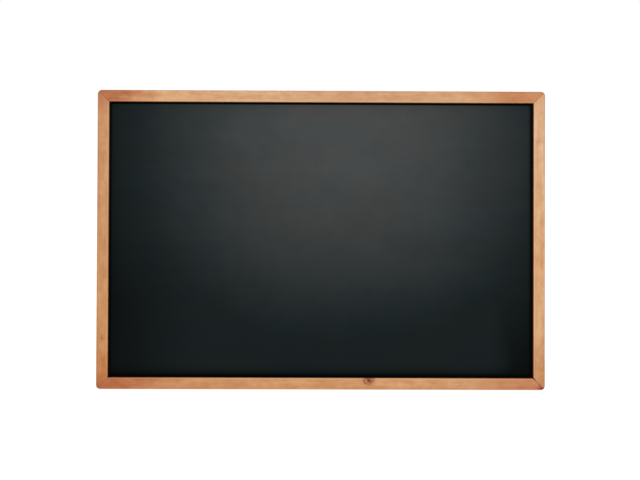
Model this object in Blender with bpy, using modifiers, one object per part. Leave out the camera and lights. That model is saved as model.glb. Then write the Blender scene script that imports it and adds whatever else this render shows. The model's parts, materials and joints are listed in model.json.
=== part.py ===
"""A framed menu chalkboard that stands on a counter on a folding strut.

The board is built like a large picture frame. Four mitred wooden rails, held at each corner by two
V-nails, have a rabbet at the back for a chalk-painted panel and a backing board. Six turn buttons hold
both in. A pressed-steel easel hinge on the backing board carries the strut, and its tail is the stop
that holds the strut open. Two D-ring hangers and four rubber bumpers let the board hang on a wall.

Units are metres and +Z is up. Each piece is drawn in one of two frames of its own. In the board frame x
runs to the right, y from the frame's rear face backwards, and z up the board from its bottom edge. In
the strut frame the origin is on the hinge pin, and z runs up along the strut. Two empties place them.
"""

import math

import bmesh
import bpy
from mathutils import Matrix, Vector

# Driving dimensions
BOARD_WIDTH = 0.600
BOARD_HEIGHT = 0.400
RAIL_FACE = 0.0155
RAIL_DEPTH = 0.016
LEAN = math.radians(15)
STRUT_OPENING = math.radians(28)
HINGE_HEIGHT = 0.285

# The gap that two touching pieces keep
GAP = 0.0003

# Frame
CORNER_RADIUS = 0.006
FRONT_EDGE_RADIUS = 0.0014
RABBET_WIDTH = 0.005
LIP_DEPTH = 0.0065
LAND_WIDTH = RAIL_FACE - RABBET_WIDTH
PANEL_THICKNESS = 0.003
PANEL_SIDE_PLAY = 0.0005
PANEL_FRONT = -RAIL_DEPTH + LIP_DEPTH + GAP
BACKING_FRONT = PANEL_FRONT + PANEL_THICKNESS + GAP
BACKING_REAR = -GAP

# V-nails
V_NAIL_SHEET = 0.0005
V_NAIL_FLANK = 0.0042
V_NAIL_DEPTH = 0.008
V_NAIL_HALF_ANGLE = math.radians(55)
V_NAIL_PLACES = (0.005, 0.0105)

# Wood screws: a pan head on a plain shank
SHANK_RADIUS = 0.0015
SCREW_HOLE_RADIUS = SHANK_RADIUS + GAP
PAN_HEAD_RADIUS = 0.003
PAN_HEAD_HEIGHT = 0.0018
SCREW_TIP = 0.0012
ROUND_STEPS = 16

# Turn buttons
BUTTON_SHEET = 0.001
BUTTON_PIVOT_INSET = 0.0055
BUTTON_END_RADIUS = 0.0042
BUTTON_TIP_RADIUS = 0.0032
BUTTON_REACH = 0.0155
BUTTON_SCREW_LENGTH = 0.010
BUTTON_SPACING = 0.300

# D-ring hangers
HANGER_INSET = 0.0068
HANGER_HEIGHT = 0.306
STRAP_WIDTH = 0.0064
STRAP_THICKNESS = 0.0016
STRAP_LENGTH = 0.0185
STRAP_CORNER_RADIUS = 0.0016
STRAP_SCREW_DROP = 0.014
LOOP_RADIUS = 0.0022
RING_WIRE_RADIUS = 0.0009
RING_HALF_WIDTH = 0.0048
RING_DROP = 0.0096
RING_BEND_RADIUS = 0.0014

# Wall bumpers
BUMPER_RADIUS = 0.004
BUMPER_HEIGHT = 0.0025
BUMPER_INSET = 0.0062
BUMPER_FROM_SIDE = 0.030

# Easel hinge: two pressed plates with ears on one pin
HINGE_SHEET = 0.0012
HINGE_AXIS_Y = 0.006
PIN_RADIUS = 0.0015
PIN_HOLE_RADIUS = PIN_RADIUS + GAP
PIN_HEAD_RADIUS = 0.0027
PIN_HEAD_HEIGHT = 0.0009
BASE_HALF_WIDTH = 0.023
BASE_BELOW_AXIS = 0.008
BASE_ABOVE_AXIS = 0.030
BASE_CORNER_RADIUS = 0.005
EAR_RADIUS = 0.004
BASE_EAR_HALF_LENGTH = 0.006
EAR_ROOT_TOP = 0.003996
EAR_PLAY = 0.0004
WEB_INNER_Y = -0.002
WEB_BELOW_AXIS = 0.036
WEB_CORNER_RADIUS = 0.006
BASE_SCREW_LENGTH = 0.0046
BASE_SCREW_X = 0.014
BASE_SCREW_RISES = (0.012, 0.024)

# Strut
STRUT_THICKNESS = 0.008
STRUT_HEAD_WIDTH = 0.036
STRUT_FOOT_WIDTH = 0.066
STRUT_HEAD_DROP = 0.004
STRUT_CORNER_RADIUS = 0.005
STRUT_EDGE_RADIUS = 0.0009
STRUT_INNER_Y = WEB_INNER_Y + HINGE_SHEET + GAP
STRUT_OUTER_Y = STRUT_INNER_Y + STRUT_THICKNESS
RIVET_DROPS = (0.014, 0.028)
RIVET_HEAD_RADIUS = 0.0032
RIVET_HEAD_HEIGHT = 0.0012
RIVET_TAIL_RADIUS = 0.0026
RIVET_TAIL_HEIGHT = 0.0008
FOOT_PAD_THICKNESS = 0.002
FOOT_PAD_INSET = 0.003

HALF_WIDTH = BOARD_WIDTH / 2
STRUT_TILT = STRUT_OPENING - LEAN
BASE_TOP_Y = HINGE_SHEET
TOWARDS_BACK = Matrix.Rotation(-math.pi / 2, 4, "X")


# Scene, materials and the shape helpers


def clear_scene():
    for obj in list(bpy.data.objects):
        bpy.data.objects.remove(obj)


def collection(name):
    made = bpy.data.collections.new(name)
    bpy.context.scene.collection.children.link(made)
    return made


def material(name, colour, roughness, metallic=0.0):
    made = bpy.data.materials.new(name)
    made.use_nodes = True
    shader = made.node_tree.nodes["Principled BSDF"]
    shader.inputs["Base Color"].default_value = (*colour, 1)
    shader.inputs["Roughness"].default_value = roughness
    shader.inputs["Metallic"].default_value = metallic
    return made


def empty(name, parent=None, location=(0, 0, 0), turn=0.0):
    made = bpy.data.objects.new(name, None)
    PARTS.objects.link(made)
    made.parent = parent
    made.location = location
    made.rotation_euler = (turn, 0, 0)
    return made


def placed(name, mesh, finish, parent, matrix=None):
    """A part made from a mesh, standing at matrix in its parent's frame."""
    obj = bpy.data.objects.new(name, mesh)
    PARTS.objects.link(obj)
    obj.parent = parent
    obj.matrix_local = matrix or Matrix.Identity(4)
    if not mesh.materials:
        mesh.materials.append(finish)
    return obj


def cutter(name, mesh, parent):
    """A helper that only cuts, or that only a Boolean reads."""
    obj = bpy.data.objects.new(name, mesh)
    CUTTERS.objects.link(obj)
    obj.parent = parent
    obj.hide_render = True
    obj.display_type = "WIRE"
    return obj


def boolean(obj, other, operation="DIFFERENCE"):
    modifier = obj.modifiers.new(f"{operation.lower()}_{other.name}", "BOOLEAN")
    modifier.operation = operation
    modifier.object = other


def mesh_from(bm, name):
    mesh = bpy.data.meshes.new(name)
    bm.to_mesh(mesh)
    bm.free()
    return mesh


def box_mesh(name, low, high):
    bm = bmesh.new()
    size = Vector(high) - Vector(low)
    centre = (Vector(high) + Vector(low)) / 2
    matrix = Matrix.Translation(centre) @ Matrix.Diagonal((*size, 1))
    bmesh.ops.create_cube(bm, size=1, matrix=matrix)
    return mesh_from(bm, name)


def cylinder_mesh(name, radius, low, high, axis):
    """A round bar from point low to point high, along axis X or Y."""
    bm = bmesh.new()
    low, high = Vector(low), Vector(high)
    turn = Matrix.Rotation(math.pi / 2, 4, "Y" if axis == "X" else "X")
    bmesh.ops.create_cone(
        bm,
        cap_ends=True,
        segments=ROUND_STEPS,
        radius1=radius,
        radius2=radius,
        depth=(high - low).length,
        matrix=Matrix.Translation((low + high) / 2) @ turn,
    )
    return mesh_from(bm, name)


def plate_mesh(name, outline, y_front, y_rear):
    """A flat plate with an outline in x and z, from y_front to y_rear."""
    curve = bpy.data.curves.new(name, "CURVE")
    curve.dimensions = "2D"
    curve.fill_mode = "BOTH"
    curve.extrude = (y_rear - y_front) / 2
    spline = curve.splines.new("POLY")
    spline.points.add(len(outline) - 1)
    for point, (x, z) in zip(spline.points, outline):
        point.co = (x, z, 0, 1)
    spline.use_cyclic_u = True
    flat = bpy.data.objects.new(name, curve)
    PARTS.objects.link(flat)
    mesh = evaluated_mesh(flat)
    upright = Matrix.Rotation(math.pi / 2, 4, "X")
    mesh.transform(Matrix.Translation((0, (y_front + y_rear) / 2, 0)) @ upright)
    return mesh


def evaluated_mesh(obj):
    """The object's shape as a closed mesh; the object itself is removed."""
    graph = bpy.context.evaluated_depsgraph_get()
    mesh = bpy.data.meshes.new_from_object(obj.evaluated_get(graph))
    bm = bmesh.new()
    bm.from_mesh(mesh)
    bmesh.ops.remove_doubles(bm, verts=bm.verts, dist=1e-6)
    bmesh.ops.recalc_face_normals(bm, faces=bm.faces)
    bm.to_mesh(mesh)
    bm.free()
    bpy.data.objects.remove(obj)
    return mesh


def joined_mesh(name, meshes):
    """One mesh that holds several separate solids, for one cutter."""
    bm = bmesh.new()
    for mesh in meshes:
        bm.from_mesh(mesh)
    return mesh_from(bm, name)


def arc(centre, radius, start, end, steps):
    """Points along an arc, both ends included; angles are in degrees from +x."""
    angles = [math.radians(start + (end - start) * k / steps) for k in range(steps + 1)]
    return [(centre[0] + radius * math.cos(a), centre[1] + radius * math.sin(a)) for a in angles]


def turned_profile(name, points):
    """The half section of a turned piece: (radius, height) pairs from its top to its bottom."""
    mesh = bpy.data.meshes.new(name)
    edges = [(k, k + 1) for k in range(len(points) - 1)]
    mesh.from_pydata([(radius, 0, height) for radius, height in points], edges, [])
    return mesh


def turn_on_lathe(obj):
    modifier = obj.modifiers.new("lathe", "SCREW")
    modifier.steps = ROUND_STEPS
    modifier.render_steps = ROUND_STEPS
    modifier.use_merge_vertices = True
    modifier.merge_threshold = 1e-5
    obj.data.shade_smooth()


def dome(radius, height, base, steps=3):
    """Profile points of a domed head, from its crown to its rim, standing on height base."""
    angles = [math.pi / 2 * k / steps for k in range(steps + 1)]
    return [(radius * math.sin(a), base + height * math.cos(a)) for a in angles]


def screw_profile(name, length):
    """A pan-head screw whose head stands on z = 0 and whose shank runs down to -length."""
    points = dome(PAN_HEAD_RADIUS, PAN_HEAD_HEIGHT, 0)
    points += [(SHANK_RADIUS, 0), (SHANK_RADIUS, SCREW_TIP - length), (0, -length)]
    return turned_profile(name, points)


def fastener(name, profile, finish, parent, place):
    """A turned screw or bumper at place, with its head to the back."""
    obj = placed(name, profile, finish, parent, Matrix.Translation(place) @ TOWARDS_BACK)
    turn_on_lathe(obj)
    return obj


# Frame rails


def frame_ring_mesh():
    """The whole frame before it is parted at the mitres: one ring with its rabbet."""
    bm = bmesh.new()
    centre = Vector((0, -RAIL_DEPTH / 2, BOARD_HEIGHT / 2))
    size = (BOARD_WIDTH, RAIL_DEPTH, BOARD_HEIGHT, 1)
    bmesh.ops.create_cube(bm, size=1, matrix=Matrix.Translation(centre) @ Matrix.Diagonal(size))
    upright = [e for e in bm.edges if abs(e.verts[0].co.y - e.verts[1].co.y) > RAIL_DEPTH / 2]
    bmesh.ops.bevel(bm, geom=upright, offset=CORNER_RADIUS, segments=8, profile=0.5, affect="EDGES")
    ring = placed("ring_blank", mesh_from(bm, "ring_blank"), WOOD, None)
    window = opening_cutter("window", RAIL_FACE, -2 * RAIL_DEPTH)
    rabbet = opening_cutter("rabbet", LAND_WIDTH, -RAIL_DEPTH + LIP_DEPTH)
    boolean(ring, window)
    boolean(ring, rabbet)
    mesh = evaluated_mesh(ring)
    round_front_edges(mesh)
    return mesh


def opening_cutter(name, inset, y_front):
    low = (-HALF_WIDTH + inset, y_front, inset)
    high = (HALF_WIDTH - inset, RAIL_DEPTH, BOARD_HEIGHT - inset)
    return cutter(name, box_mesh(name, low, high), None)


def round_front_edges(mesh):
    """Eases the outer and the inner edge of the front face."""
    bm = bmesh.new()
    bm.from_mesh(mesh)
    front = -RAIL_DEPTH + 1e-5
    rims = [
        edge
        for edge in bm.edges
        if all(v.co.y < front for v in edge.verts)
        and any(abs(face.normal.y) < 0.5 for face in edge.link_faces)
    ]
    bmesh.ops.bevel(bm, geom=rims, offset=FRONT_EDGE_RADIUS, segments=3, profile=0.5, affect="EDGES")
    bm.to_mesh(mesh)
    bm.free()


def mitre_wedge_mesh(name, half_length):
    """The part of the ring that one rail is: a wedge below z = 0, widening upwards at 45 degrees."""
    beyond = RAIL_FACE / 2
    deep = RAIL_FACE + beyond
    joint = GAP / 2 * math.sqrt(2)
    top, bottom = half_length + beyond - joint, half_length - deep - joint
    outline = [(-top, beyond), (-bottom, -deep), (bottom, -deep), (top, beyond)]
    return plate_mesh(name, outline, -2 * RAIL_DEPTH, RAIL_DEPTH)


def v_nail_outline(place, sheet, flank):
    """A V seen from behind: its crease is on the mitre line, at place from the outer corner.

    The corner is at (0, 0), the board lies towards -x and -z, and each flank runs into one rail.
    """
    inwards = Vector((-1, -1)).normalized()
    across = Vector((1, -1)).normalized()
    crease = inwards * place
    cosine, sine = math.cos(V_NAIL_HALF_ANGLE), math.sin(V_NAIL_HALF_ANGLE)
    step = inwards * (sheet / 2 / sine)
    outer, inner = [], []
    for side in (1, -1):
        end = crease - step + flank * (inwards * cosine + across * side * sine)
        outer.append(end)
        inner.append(end + sheet * (inwards * sine - across * side * cosine))
    return [tuple(p) for p in (crease - step, outer[0], inner[0], crease + step, inner[1], outer[1])]


def corner_matrix(side, top):
    """Takes a shape drawn at the top right corner to the corner at this side and height."""
    lift = Matrix.Translation((side * HALF_WIDTH, 0, BOARD_HEIGHT if top else 0))
    return lift @ Matrix.Diagonal((side, 1, 1 if top else -1, 1))


def mirrored_to(mesh, matrix, name):
    """A copy of mesh moved by matrix, with its faces still pointing out."""
    copy = mesh.copy()
    copy.name = name
    copy.transform(matrix)
    if matrix.determinant() < 0:
        copy.flip_normals()
    return copy


def corners():
    """Each corner's name, its side (-1 left, 1 right), and whether it is a top one."""
    heights = (("top", True), ("bottom", False))
    sides = (("left", -1), ("right", 1))
    return [(f"{height}_{across}", side, top) for height, top in heights for across, side in sides]


def make_v_nails():
    """Two V-nails at each corner; returns the cutters for their slots, by corner."""
    slots = {}
    for corner, side, top in corners():
        matrix = corner_matrix(side, top)
        cuts = []
        for number, place in enumerate(V_NAIL_PLACES, start=1):
            name = f"v_nail_{corner}_{number}"
            outline = v_nail_outline(place, V_NAIL_SHEET, V_NAIL_FLANK)
            nail = plate_mesh(name, outline, -V_NAIL_DEPTH - GAP, -GAP)
            placed(name, mirrored_to(nail, matrix, name), ZINC, BOARD)
            wide = v_nail_outline(place, V_NAIL_SHEET + 2 * GAP, V_NAIL_FLANK + GAP)
            slot = plate_mesh(f"{name}_slot", wide, -V_NAIL_DEPTH - 2 * GAP, V_NAIL_DEPTH)
            cuts.append(mirrored_to(slot, matrix, f"{name}_slot"))
        slots[corner] = cutter(f"slots_{corner}", joined_mesh(f"slots_{corner}", cuts), BOARD)
    return slots


def pilot_hole_mesh(place, length):
    x, z = place
    return cylinder_mesh("pilot_hole", SCREW_HOLE_RADIUS, (x, -length - GAP, z), (x, length, z), "Y")


def make_rails(slots):
    ring = frame_ring_mesh()
    sides = {
        "top": (HALF_WIDTH, Matrix.Translation((0, 0, BOARD_HEIGHT))),
        "bottom": (HALF_WIDTH, Matrix.Rotation(math.pi, 4, "Y")),
        "left": (
            BOARD_HEIGHT / 2,
            Matrix.Translation((-HALF_WIDTH, 0, BOARD_HEIGHT / 2)) @ Matrix.Rotation(-math.pi / 2, 4, "Y"),
        ),
        "right": (
            BOARD_HEIGHT / 2,
            Matrix.Translation((HALF_WIDTH, 0, BOARD_HEIGHT / 2)) @ Matrix.Rotation(math.pi / 2, 4, "Y"),
        ),
    }
    for side, (half_length, matrix) in sides.items():
        rail = placed(f"rail_{side}", ring.copy(), WOOD, BOARD)
        wedge = mitre_wedge_mesh(f"wedge_{side}", half_length)
        wedge.transform(matrix)
        boolean(rail, cutter(f"wedge_{side}", wedge, BOARD), "INTERSECT")
        for corner, slot in slots.items():
            if side in corner:
                boolean(rail, slot)
        holes = [pilot_hole_mesh(place, BUTTON_SCREW_LENGTH) for place in RAIL_SCREWS[side]]
        boolean(rail, cutter(f"holes_{side}", joined_mesh(f"holes_{side}", holes), BOARD))


# Panel and backing board


def panel_box(name, y_front, y_rear):
    inset = LAND_WIDTH + PANEL_SIDE_PLAY
    low = (-HALF_WIDTH + inset, y_front, inset)
    high = (HALF_WIDTH - inset, y_rear, BOARD_HEIGHT - inset)
    return box_mesh(name, low, high)


def make_panels():
    panel = panel_box("writing_panel", PANEL_FRONT, PANEL_FRONT + PANEL_THICKNESS)
    placed("writing_panel", panel, CHALK, BOARD)
    backing = panel_box("backing_board", BACKING_FRONT, BACKING_REAR)
    backing = placed("backing_board", backing, HARDBOARD, BOARD)
    holes = [pilot_hole_mesh(place, BASE_SCREW_LENGTH) for place in base_screw_places()]
    boolean(backing, cutter("holes_backing", joined_mesh("holes_backing", holes), BOARD))


# Turn buttons


def button_outline():
    """A tongue from the pivot at (0, 0) along +z, with a wide round end and a narrower tip."""
    tip_centre = BUTTON_REACH - BUTTON_TIP_RADIUS
    slope = math.degrees(math.asin((BUTTON_END_RADIUS - BUTTON_TIP_RADIUS) / tip_centre))
    return arc((0, 0), BUTTON_END_RADIUS, 180 - slope, 360 + slope, 12) + arc(
        (0, tip_centre), BUTTON_TIP_RADIUS, slope, 180 - slope, 8
    )


def button_places():
    """Each button's name, the rail that carries it, its pivot (x, z), and the way its tongue points."""
    half = BUTTON_SPACING / 2
    inset = BUTTON_PIVOT_INSET
    top, right = BOARD_HEIGHT - inset, HALF_WIDTH - inset
    middle = BOARD_HEIGHT / 2
    return [
        ("top_left", "top", (-half, top), math.pi),
        ("top_right", "top", (half, top), math.pi),
        ("bottom_left", "bottom", (-half, inset), 0.0),
        ("bottom_right", "bottom", (half, inset), 0.0),
        ("left", "left", (-right, middle), math.pi / 2),
        ("right", "right", (right, middle), -math.pi / 2),
    ]


def make_turn_buttons():
    button = placed("button_blank", plate_mesh("button", button_outline(), 0, BUTTON_SHEET), ZINC, None)
    low, high = (0, -BUTTON_SHEET, 0), (0, 2 * BUTTON_SHEET, 0)
    hole = cylinder_mesh("button_hole", SCREW_HOLE_RADIUS, low, high, "Y")
    boolean(button, cutter("button_hole", hole, None))
    drilled = evaluated_mesh(button)
    profile = screw_profile("button_screw", BUTTON_SCREW_LENGTH - BUTTON_SHEET)
    head_y = GAP + BUTTON_SHEET + GAP
    for name, _, (x, z), turn in button_places():
        matrix = Matrix.Translation((x, GAP, z)) @ Matrix.Rotation(turn, 4, "Y")
        placed(f"turn_button_{name}", drilled, ZINC, BOARD, matrix)
        fastener(f"turn_button_screw_{name}", profile, ZINC, BOARD, (x, head_y, z))


# D-ring hangers


def hanger_places():
    x = HALF_WIDTH - HANGER_INSET
    return [("left", -x), ("right", x)]


def strap_mesh():
    """A strip folded over the ring's bar, with both ends under one screw. Its loop is at (0, 0)."""
    half = STRAP_WIDTH / 2
    loop = cylinder_mesh("strap_loop", LOOP_RADIUS, (-half, 0, 0), (half, 0, 0), "X")
    strap = placed("strap_blank", loop, NICKEL, None)
    corner = STRAP_CORNER_RADIUS
    outline = [(half, 0), (-half, 0)]
    outline += arc((-half + corner, -STRAP_LENGTH + corner), corner, 180, 270, 3)
    outline += arc((half - corner, -STRAP_LENGTH + corner), corner, 270, 360, 3)
    tail = plate_mesh("strap_tail", outline, -LOOP_RADIUS, -LOOP_RADIUS + STRAP_THICKNESS)
    boolean(strap, cutter("strap_tail", tail, None), "UNION")
    bar = cylinder_mesh("bar_hole", RING_WIRE_RADIUS + GAP, (-STRAP_WIDTH, 0, 0), (STRAP_WIDTH, 0, 0), "X")
    boolean(strap, cutter("bar_hole", bar, None))
    low, high = (0, -2 * LOOP_RADIUS, -STRAP_SCREW_DROP), (0, LOOP_RADIUS, -STRAP_SCREW_DROP)
    boolean(strap, cutter("strap_hole", cylinder_mesh("strap_hole", SCREW_HOLE_RADIUS, low, high, "Y"), None))
    return evaluated_mesh(strap)


def ring_curve():
    """A D of wire: the straight bar is on the x axis, and the bow hangs down from it."""
    curve = bpy.data.curves.new("d_ring", "CURVE")
    curve.dimensions = "3D"
    curve.bevel_depth = RING_WIRE_RADIUS
    curve.bevel_resolution = 1
    bend, bow = RING_BEND_RADIUS, RING_HALF_WIDTH
    points = arc((-bow + bend, -bend), bend, 180, 90, 3)
    points += arc((bow - bend, -bend), bend, 90, 0, 3)
    points += arc((0, -RING_DROP + bow), bow, 0, -180, 12)
    spline = curve.splines.new("POLY")
    spline.points.add(len(points) - 1)
    for point, (x, z) in zip(spline.points, points):
        point.co = (x, 0, z, 1)
    spline.use_cyclic_u = True
    return curve


def make_hangers():
    strap = strap_mesh()
    profile = screw_profile("hanger_screw", BUTTON_SCREW_LENGTH - STRAP_THICKNESS)
    hang_vertical = Matrix.Rotation(LEAN, 4, "X")
    axis_y = GAP + LOOP_RADIUS
    head_y = GAP + STRAP_THICKNESS + GAP
    for side, x in hanger_places():
        matrix = Matrix.Translation((x, axis_y, HANGER_HEIGHT))
        placed(f"hanger_strap_{side}", strap, NICKEL, BOARD, matrix)
        placed(f"d_ring_{side}", ring_curve(), NICKEL, BOARD, matrix @ hang_vertical)
        place = (x, head_y, HANGER_HEIGHT - STRAP_SCREW_DROP)
        fastener(f"hanger_screw_{side}", profile, ZINC, BOARD, place)


# Wall bumpers


def make_bumpers():
    points = dome(BUMPER_RADIUS * 0.8, BUMPER_HEIGHT * 0.4, BUMPER_HEIGHT * 0.6)
    profile = turned_profile("wall_bumper", points + [(BUMPER_RADIUS, 0), (0, 0)])
    for corner, side, top in corners():
        z = BOARD_HEIGHT - BUMPER_INSET if top else BUMPER_INSET
        place = (side * (HALF_WIDTH - BUMPER_FROM_SIDE), GAP, z)
        fastener(f"wall_bumper_{corner}", profile, RUBBER, BOARD, place)


# Easel hinge


def base_screw_places():
    return [(side * BASE_SCREW_X, HINGE_HEIGHT + rise) for rise in BASE_SCREW_RISES for side in (-1, 1)]


def ear_mesh(name, x_inner, side, y_low, half_length, axis_y, axis_z):
    """An upright ear that stands on a plate at y_low and is rounded about the pin."""
    x = side * x_inner
    far = side * (x_inner + HINGE_SHEET)
    low_x, high_x = min(x, far), max(x, far)
    disc = cylinder_mesh(name, EAR_RADIUS, (low_x, axis_y, axis_z), (high_x, axis_y, axis_z), "X")
    ear = placed(name, disc, ZINC, None)
    low, high = (low_x, y_low, axis_z - half_length), (high_x, axis_y, axis_z + half_length)
    root = box_mesh(f"{name}_root", low, high)
    bm = bmesh.new()
    bm.from_mesh(root)
    for vertex in bm.verts:
        if vertex.co.y > y_low + 1e-6:
            vertex.co.z = axis_z + math.copysign(EAR_ROOT_TOP, vertex.co.z - axis_z)
    bm.to_mesh(root)
    bm.free()
    boolean(ear, cutter(f"{name}_root", root, None), "UNION")
    return evaluated_mesh(ear)


def pressed_plate_mesh(name, flat, ears, holes):
    """A flat plate joined with its two ears, then drilled."""
    plate = placed(name, flat, ZINC, None)
    for number, ear in enumerate(ears):
        boolean(plate, cutter(f"{name}_ear_{number}", ear, None), "UNION")
    for number, hole in enumerate(holes):
        boolean(plate, cutter(f"{name}_hole_{number}", hole, None))
    return evaluated_mesh(plate)


def rounded_plate_outline(half_width, low, high, radius):
    """A rectangle whose upper corners are rounded."""
    points = [(-half_width, low), (half_width, low)]
    points += arc((half_width - radius, high - radius), radius, 0, 90, 4)
    points += arc((-half_width + radius, high - radius), radius, 90, 180, 4)
    return points


def make_hinge_base():
    z = HINGE_HEIGHT
    low, high = z - BASE_BELOW_AXIS, z + BASE_ABOVE_AXIS
    outline = rounded_plate_outline(BASE_HALF_WIDTH, low, high, BASE_CORNER_RADIUS)
    flat = plate_mesh("base_flat", outline, 0, HINGE_SHEET)
    inner = BASE_HALF_WIDTH - HINGE_SHEET
    ears = [
        ear_mesh(f"base_ear_{n}", inner, side, HINGE_SHEET / 2, BASE_EAR_HALF_LENGTH, HINGE_AXIS_Y, z)
        for n, side in enumerate((-1, 1))
    ]
    reach = 2 * BASE_HALF_WIDTH
    low, high = (-reach, HINGE_AXIS_Y, z), (reach, HINGE_AXIS_Y, z)
    holes = [cylinder_mesh("base_pin_hole", PIN_HOLE_RADIUS, low, high, "X")]
    holes += [pilot_hole_mesh(place, BASE_SCREW_LENGTH) for place in base_screw_places()]
    placed("hinge_base_plate", pressed_plate_mesh("base", flat, ears, holes), ZINC, BOARD)
    profile = screw_profile("hinge_screw", BASE_SCREW_LENGTH)
    for number, (x, screw_z) in enumerate(base_screw_places(), start=1):
        fastener(f"hinge_screw_{number}", profile, ZINC, BOARD, (x, BASE_TOP_Y + GAP, screw_z))


def make_hinge_pin():
    """A rivet through all four ears, with a head outside each base ear."""
    half = BASE_HALF_WIDTH + GAP
    head = dome(PIN_HEAD_RADIUS, PIN_HEAD_HEIGHT, half)
    points = head + [(PIN_RADIUS, half), (PIN_RADIUS, -half)]
    points += [(radius, -height) for radius, height in reversed(head)]
    matrix = Matrix.Translation((0, HINGE_AXIS_Y, HINGE_HEIGHT)) @ Matrix.Rotation(math.pi / 2, 4, "Y")
    pin = placed("hinge_pin", turned_profile("hinge_pin", points), ZINC, BOARD, matrix)
    turn_on_lathe(pin)


def tail_length():
    """How far the web runs past the pin: its end stops on the base plate when the strut is open."""
    room = HINGE_AXIS_Y - BASE_TOP_Y - GAP + WEB_INNER_Y * math.cos(STRUT_OPENING)
    return room / math.sin(STRUT_OPENING)


def make_hinge_web():
    """The strut's own hinge plate. Its tail, above the pin, is the stop."""
    half_width = BASE_HALF_WIDTH - HINGE_SHEET - EAR_PLAY
    outline = rounded_plate_outline(half_width, -tail_length(), WEB_BELOW_AXIS, WEB_CORNER_RADIUS)
    outline = [(x, -z) for x, z in outline]
    flat = plate_mesh("web_flat", outline, WEB_INNER_Y, WEB_INNER_Y + HINGE_SHEET)
    root_y = WEB_INNER_Y + HINGE_SHEET / 2
    ears = [
        ear_mesh(f"web_ear_{n}", half_width - HINGE_SHEET, side, root_y, EAR_RADIUS, 0, 0)
        for n, side in enumerate((-1, 1))
    ]
    reach = 2 * BASE_HALF_WIDTH
    holes = [cylinder_mesh("web_pin_hole", PIN_HOLE_RADIUS, (-reach, 0, 0), (reach, 0, 0), "X")]
    holes += [rivet_hole_mesh(drop) for drop in RIVET_DROPS]
    placed("hinge_strut_plate", pressed_plate_mesh("web", flat, ears, holes), ZINC, STRUT)


# Strut


def rivet_hole_mesh(drop):
    low, high = (0, -STRUT_THICKNESS, -drop), (0, 2 * STRUT_THICKNESS, -drop)
    return cylinder_mesh("rivet_hole", SCREW_HOLE_RADIUS, low, high, "Y")


def axis_height():
    """The height of the hinge pin above the counter."""
    return HINGE_HEIGHT * math.cos(LEAN) - HINGE_AXIS_Y * math.sin(LEAN)


def strut_end(y, height):
    """The strut's own z at depth y, where it is at this height above the counter."""
    return (height - axis_height() - y * math.sin(STRUT_TILT)) / math.cos(STRUT_TILT)


def make_strut():
    """A tapered board whose foot is cut to stand flat on the counter."""
    bm = bmesh.new()
    bmesh.ops.create_cube(bm, size=2)
    foot_height = FOOT_PAD_THICKNESS + GAP
    for vertex in bm.verts:
        at_foot, at_back = vertex.co.z < 0, vertex.co.y > 0
        y = STRUT_OUTER_Y if at_back else STRUT_INNER_Y
        width = STRUT_FOOT_WIDTH if at_foot else STRUT_HEAD_WIDTH
        z = strut_end(y, foot_height) if at_foot else -STRUT_HEAD_DROP
        vertex.co = (math.copysign(width / 2, vertex.co.x), y, z)
    through = [e for e in bm.edges if abs(e.verts[0].co.y - e.verts[1].co.y) > STRUT_THICKNESS / 2]
    bmesh.ops.bevel(bm, geom=through, offset=STRUT_CORNER_RADIUS, segments=4, profile=0.5, affect="EDGES")
    bmesh.ops.bevel(
        bm,
        geom=[e for e in bm.edges if e.calc_face_angle() > math.radians(60)],
        offset=STRUT_EDGE_RADIUS,
        segments=2,
        profile=0.5,
        affect="EDGES",
    )
    strut = placed("strut", mesh_from(bm, "strut"), STRUT_WOOD, STRUT)
    holes = joined_mesh("rivet_holes", [rivet_hole_mesh(drop) for drop in RIVET_DROPS])
    boolean(strut, cutter("rivet_holes", holes, STRUT))


def make_rivets():
    length = STRUT_OUTER_Y - WEB_INNER_Y + 2 * GAP
    points = dome(RIVET_HEAD_RADIUS, RIVET_HEAD_HEIGHT, 0)
    points += [(SHANK_RADIUS, 0), (SHANK_RADIUS, -length)]
    tail = dome(RIVET_TAIL_RADIUS, RIVET_TAIL_HEIGHT, 0)
    points += [(radius, -length - height) for radius, height in reversed(tail)]
    profile = turned_profile("strut_rivet", points)
    for name, drop in zip(("upper", "lower"), RIVET_DROPS):
        fastener(f"strut_rivet_{name}", profile, NICKEL, STRUT, (0, STRUT_OUTER_Y + GAP, -drop))


def make_foot_pad():
    """A rubber strip glued under the strut's foot, flat on the counter."""
    middle_y = (STRUT_INNER_Y + STRUT_OUTER_Y) / 2
    half_width = STRUT_FOOT_WIDTH / 2 - STRUT_CORNER_RADIUS
    half_depth = (STRUT_THICKNESS - FOOT_PAD_INSET / 2) / 2
    pad = box_mesh("foot_pad", (-half_width, -half_depth, 0), (half_width, half_depth, FOOT_PAD_THICKNESS))
    level = Matrix.Rotation(-STRUT_TILT, 4, "X")
    matrix = Matrix.Translation((0, middle_y, strut_end(middle_y, 0))) @ level
    placed("strut_foot_pad", pad, RUBBER, STRUT, matrix)


# Assembly


def rail_screw_places():
    """Where each rail is drilled: under its turn buttons and its hanger."""
    found = {"top": [], "bottom": [], "left": [], "right": []}
    for _, rail, place, _ in button_places():
        found[rail].append(place)
    for side, x in hanger_places():
        found[side].append((x, HANGER_HEIGHT - STRAP_SCREW_DROP))
    return found


def centre_on_footprint():
    """Moves the whole board along y, so that the origin is in the middle of the space it stands on."""
    bpy.context.view_layer.update()
    graph = bpy.context.evaluated_depsgraph_get()
    depths = []
    for obj in PARTS.objects:
        if obj.type != "EMPTY":
            seen = obj.evaluated_get(graph)
            depths += [(seen.matrix_world @ vertex.co).y for vertex in seen.to_mesh().vertices]
            seen.to_mesh_clear()
    BOARD.location.y -= (min(depths) + max(depths)) / 2
    bpy.context.view_layer.update()


clear_scene()
PARTS = collection("menu_chalkboard")
CUTTERS = collection("cutters")

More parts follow.
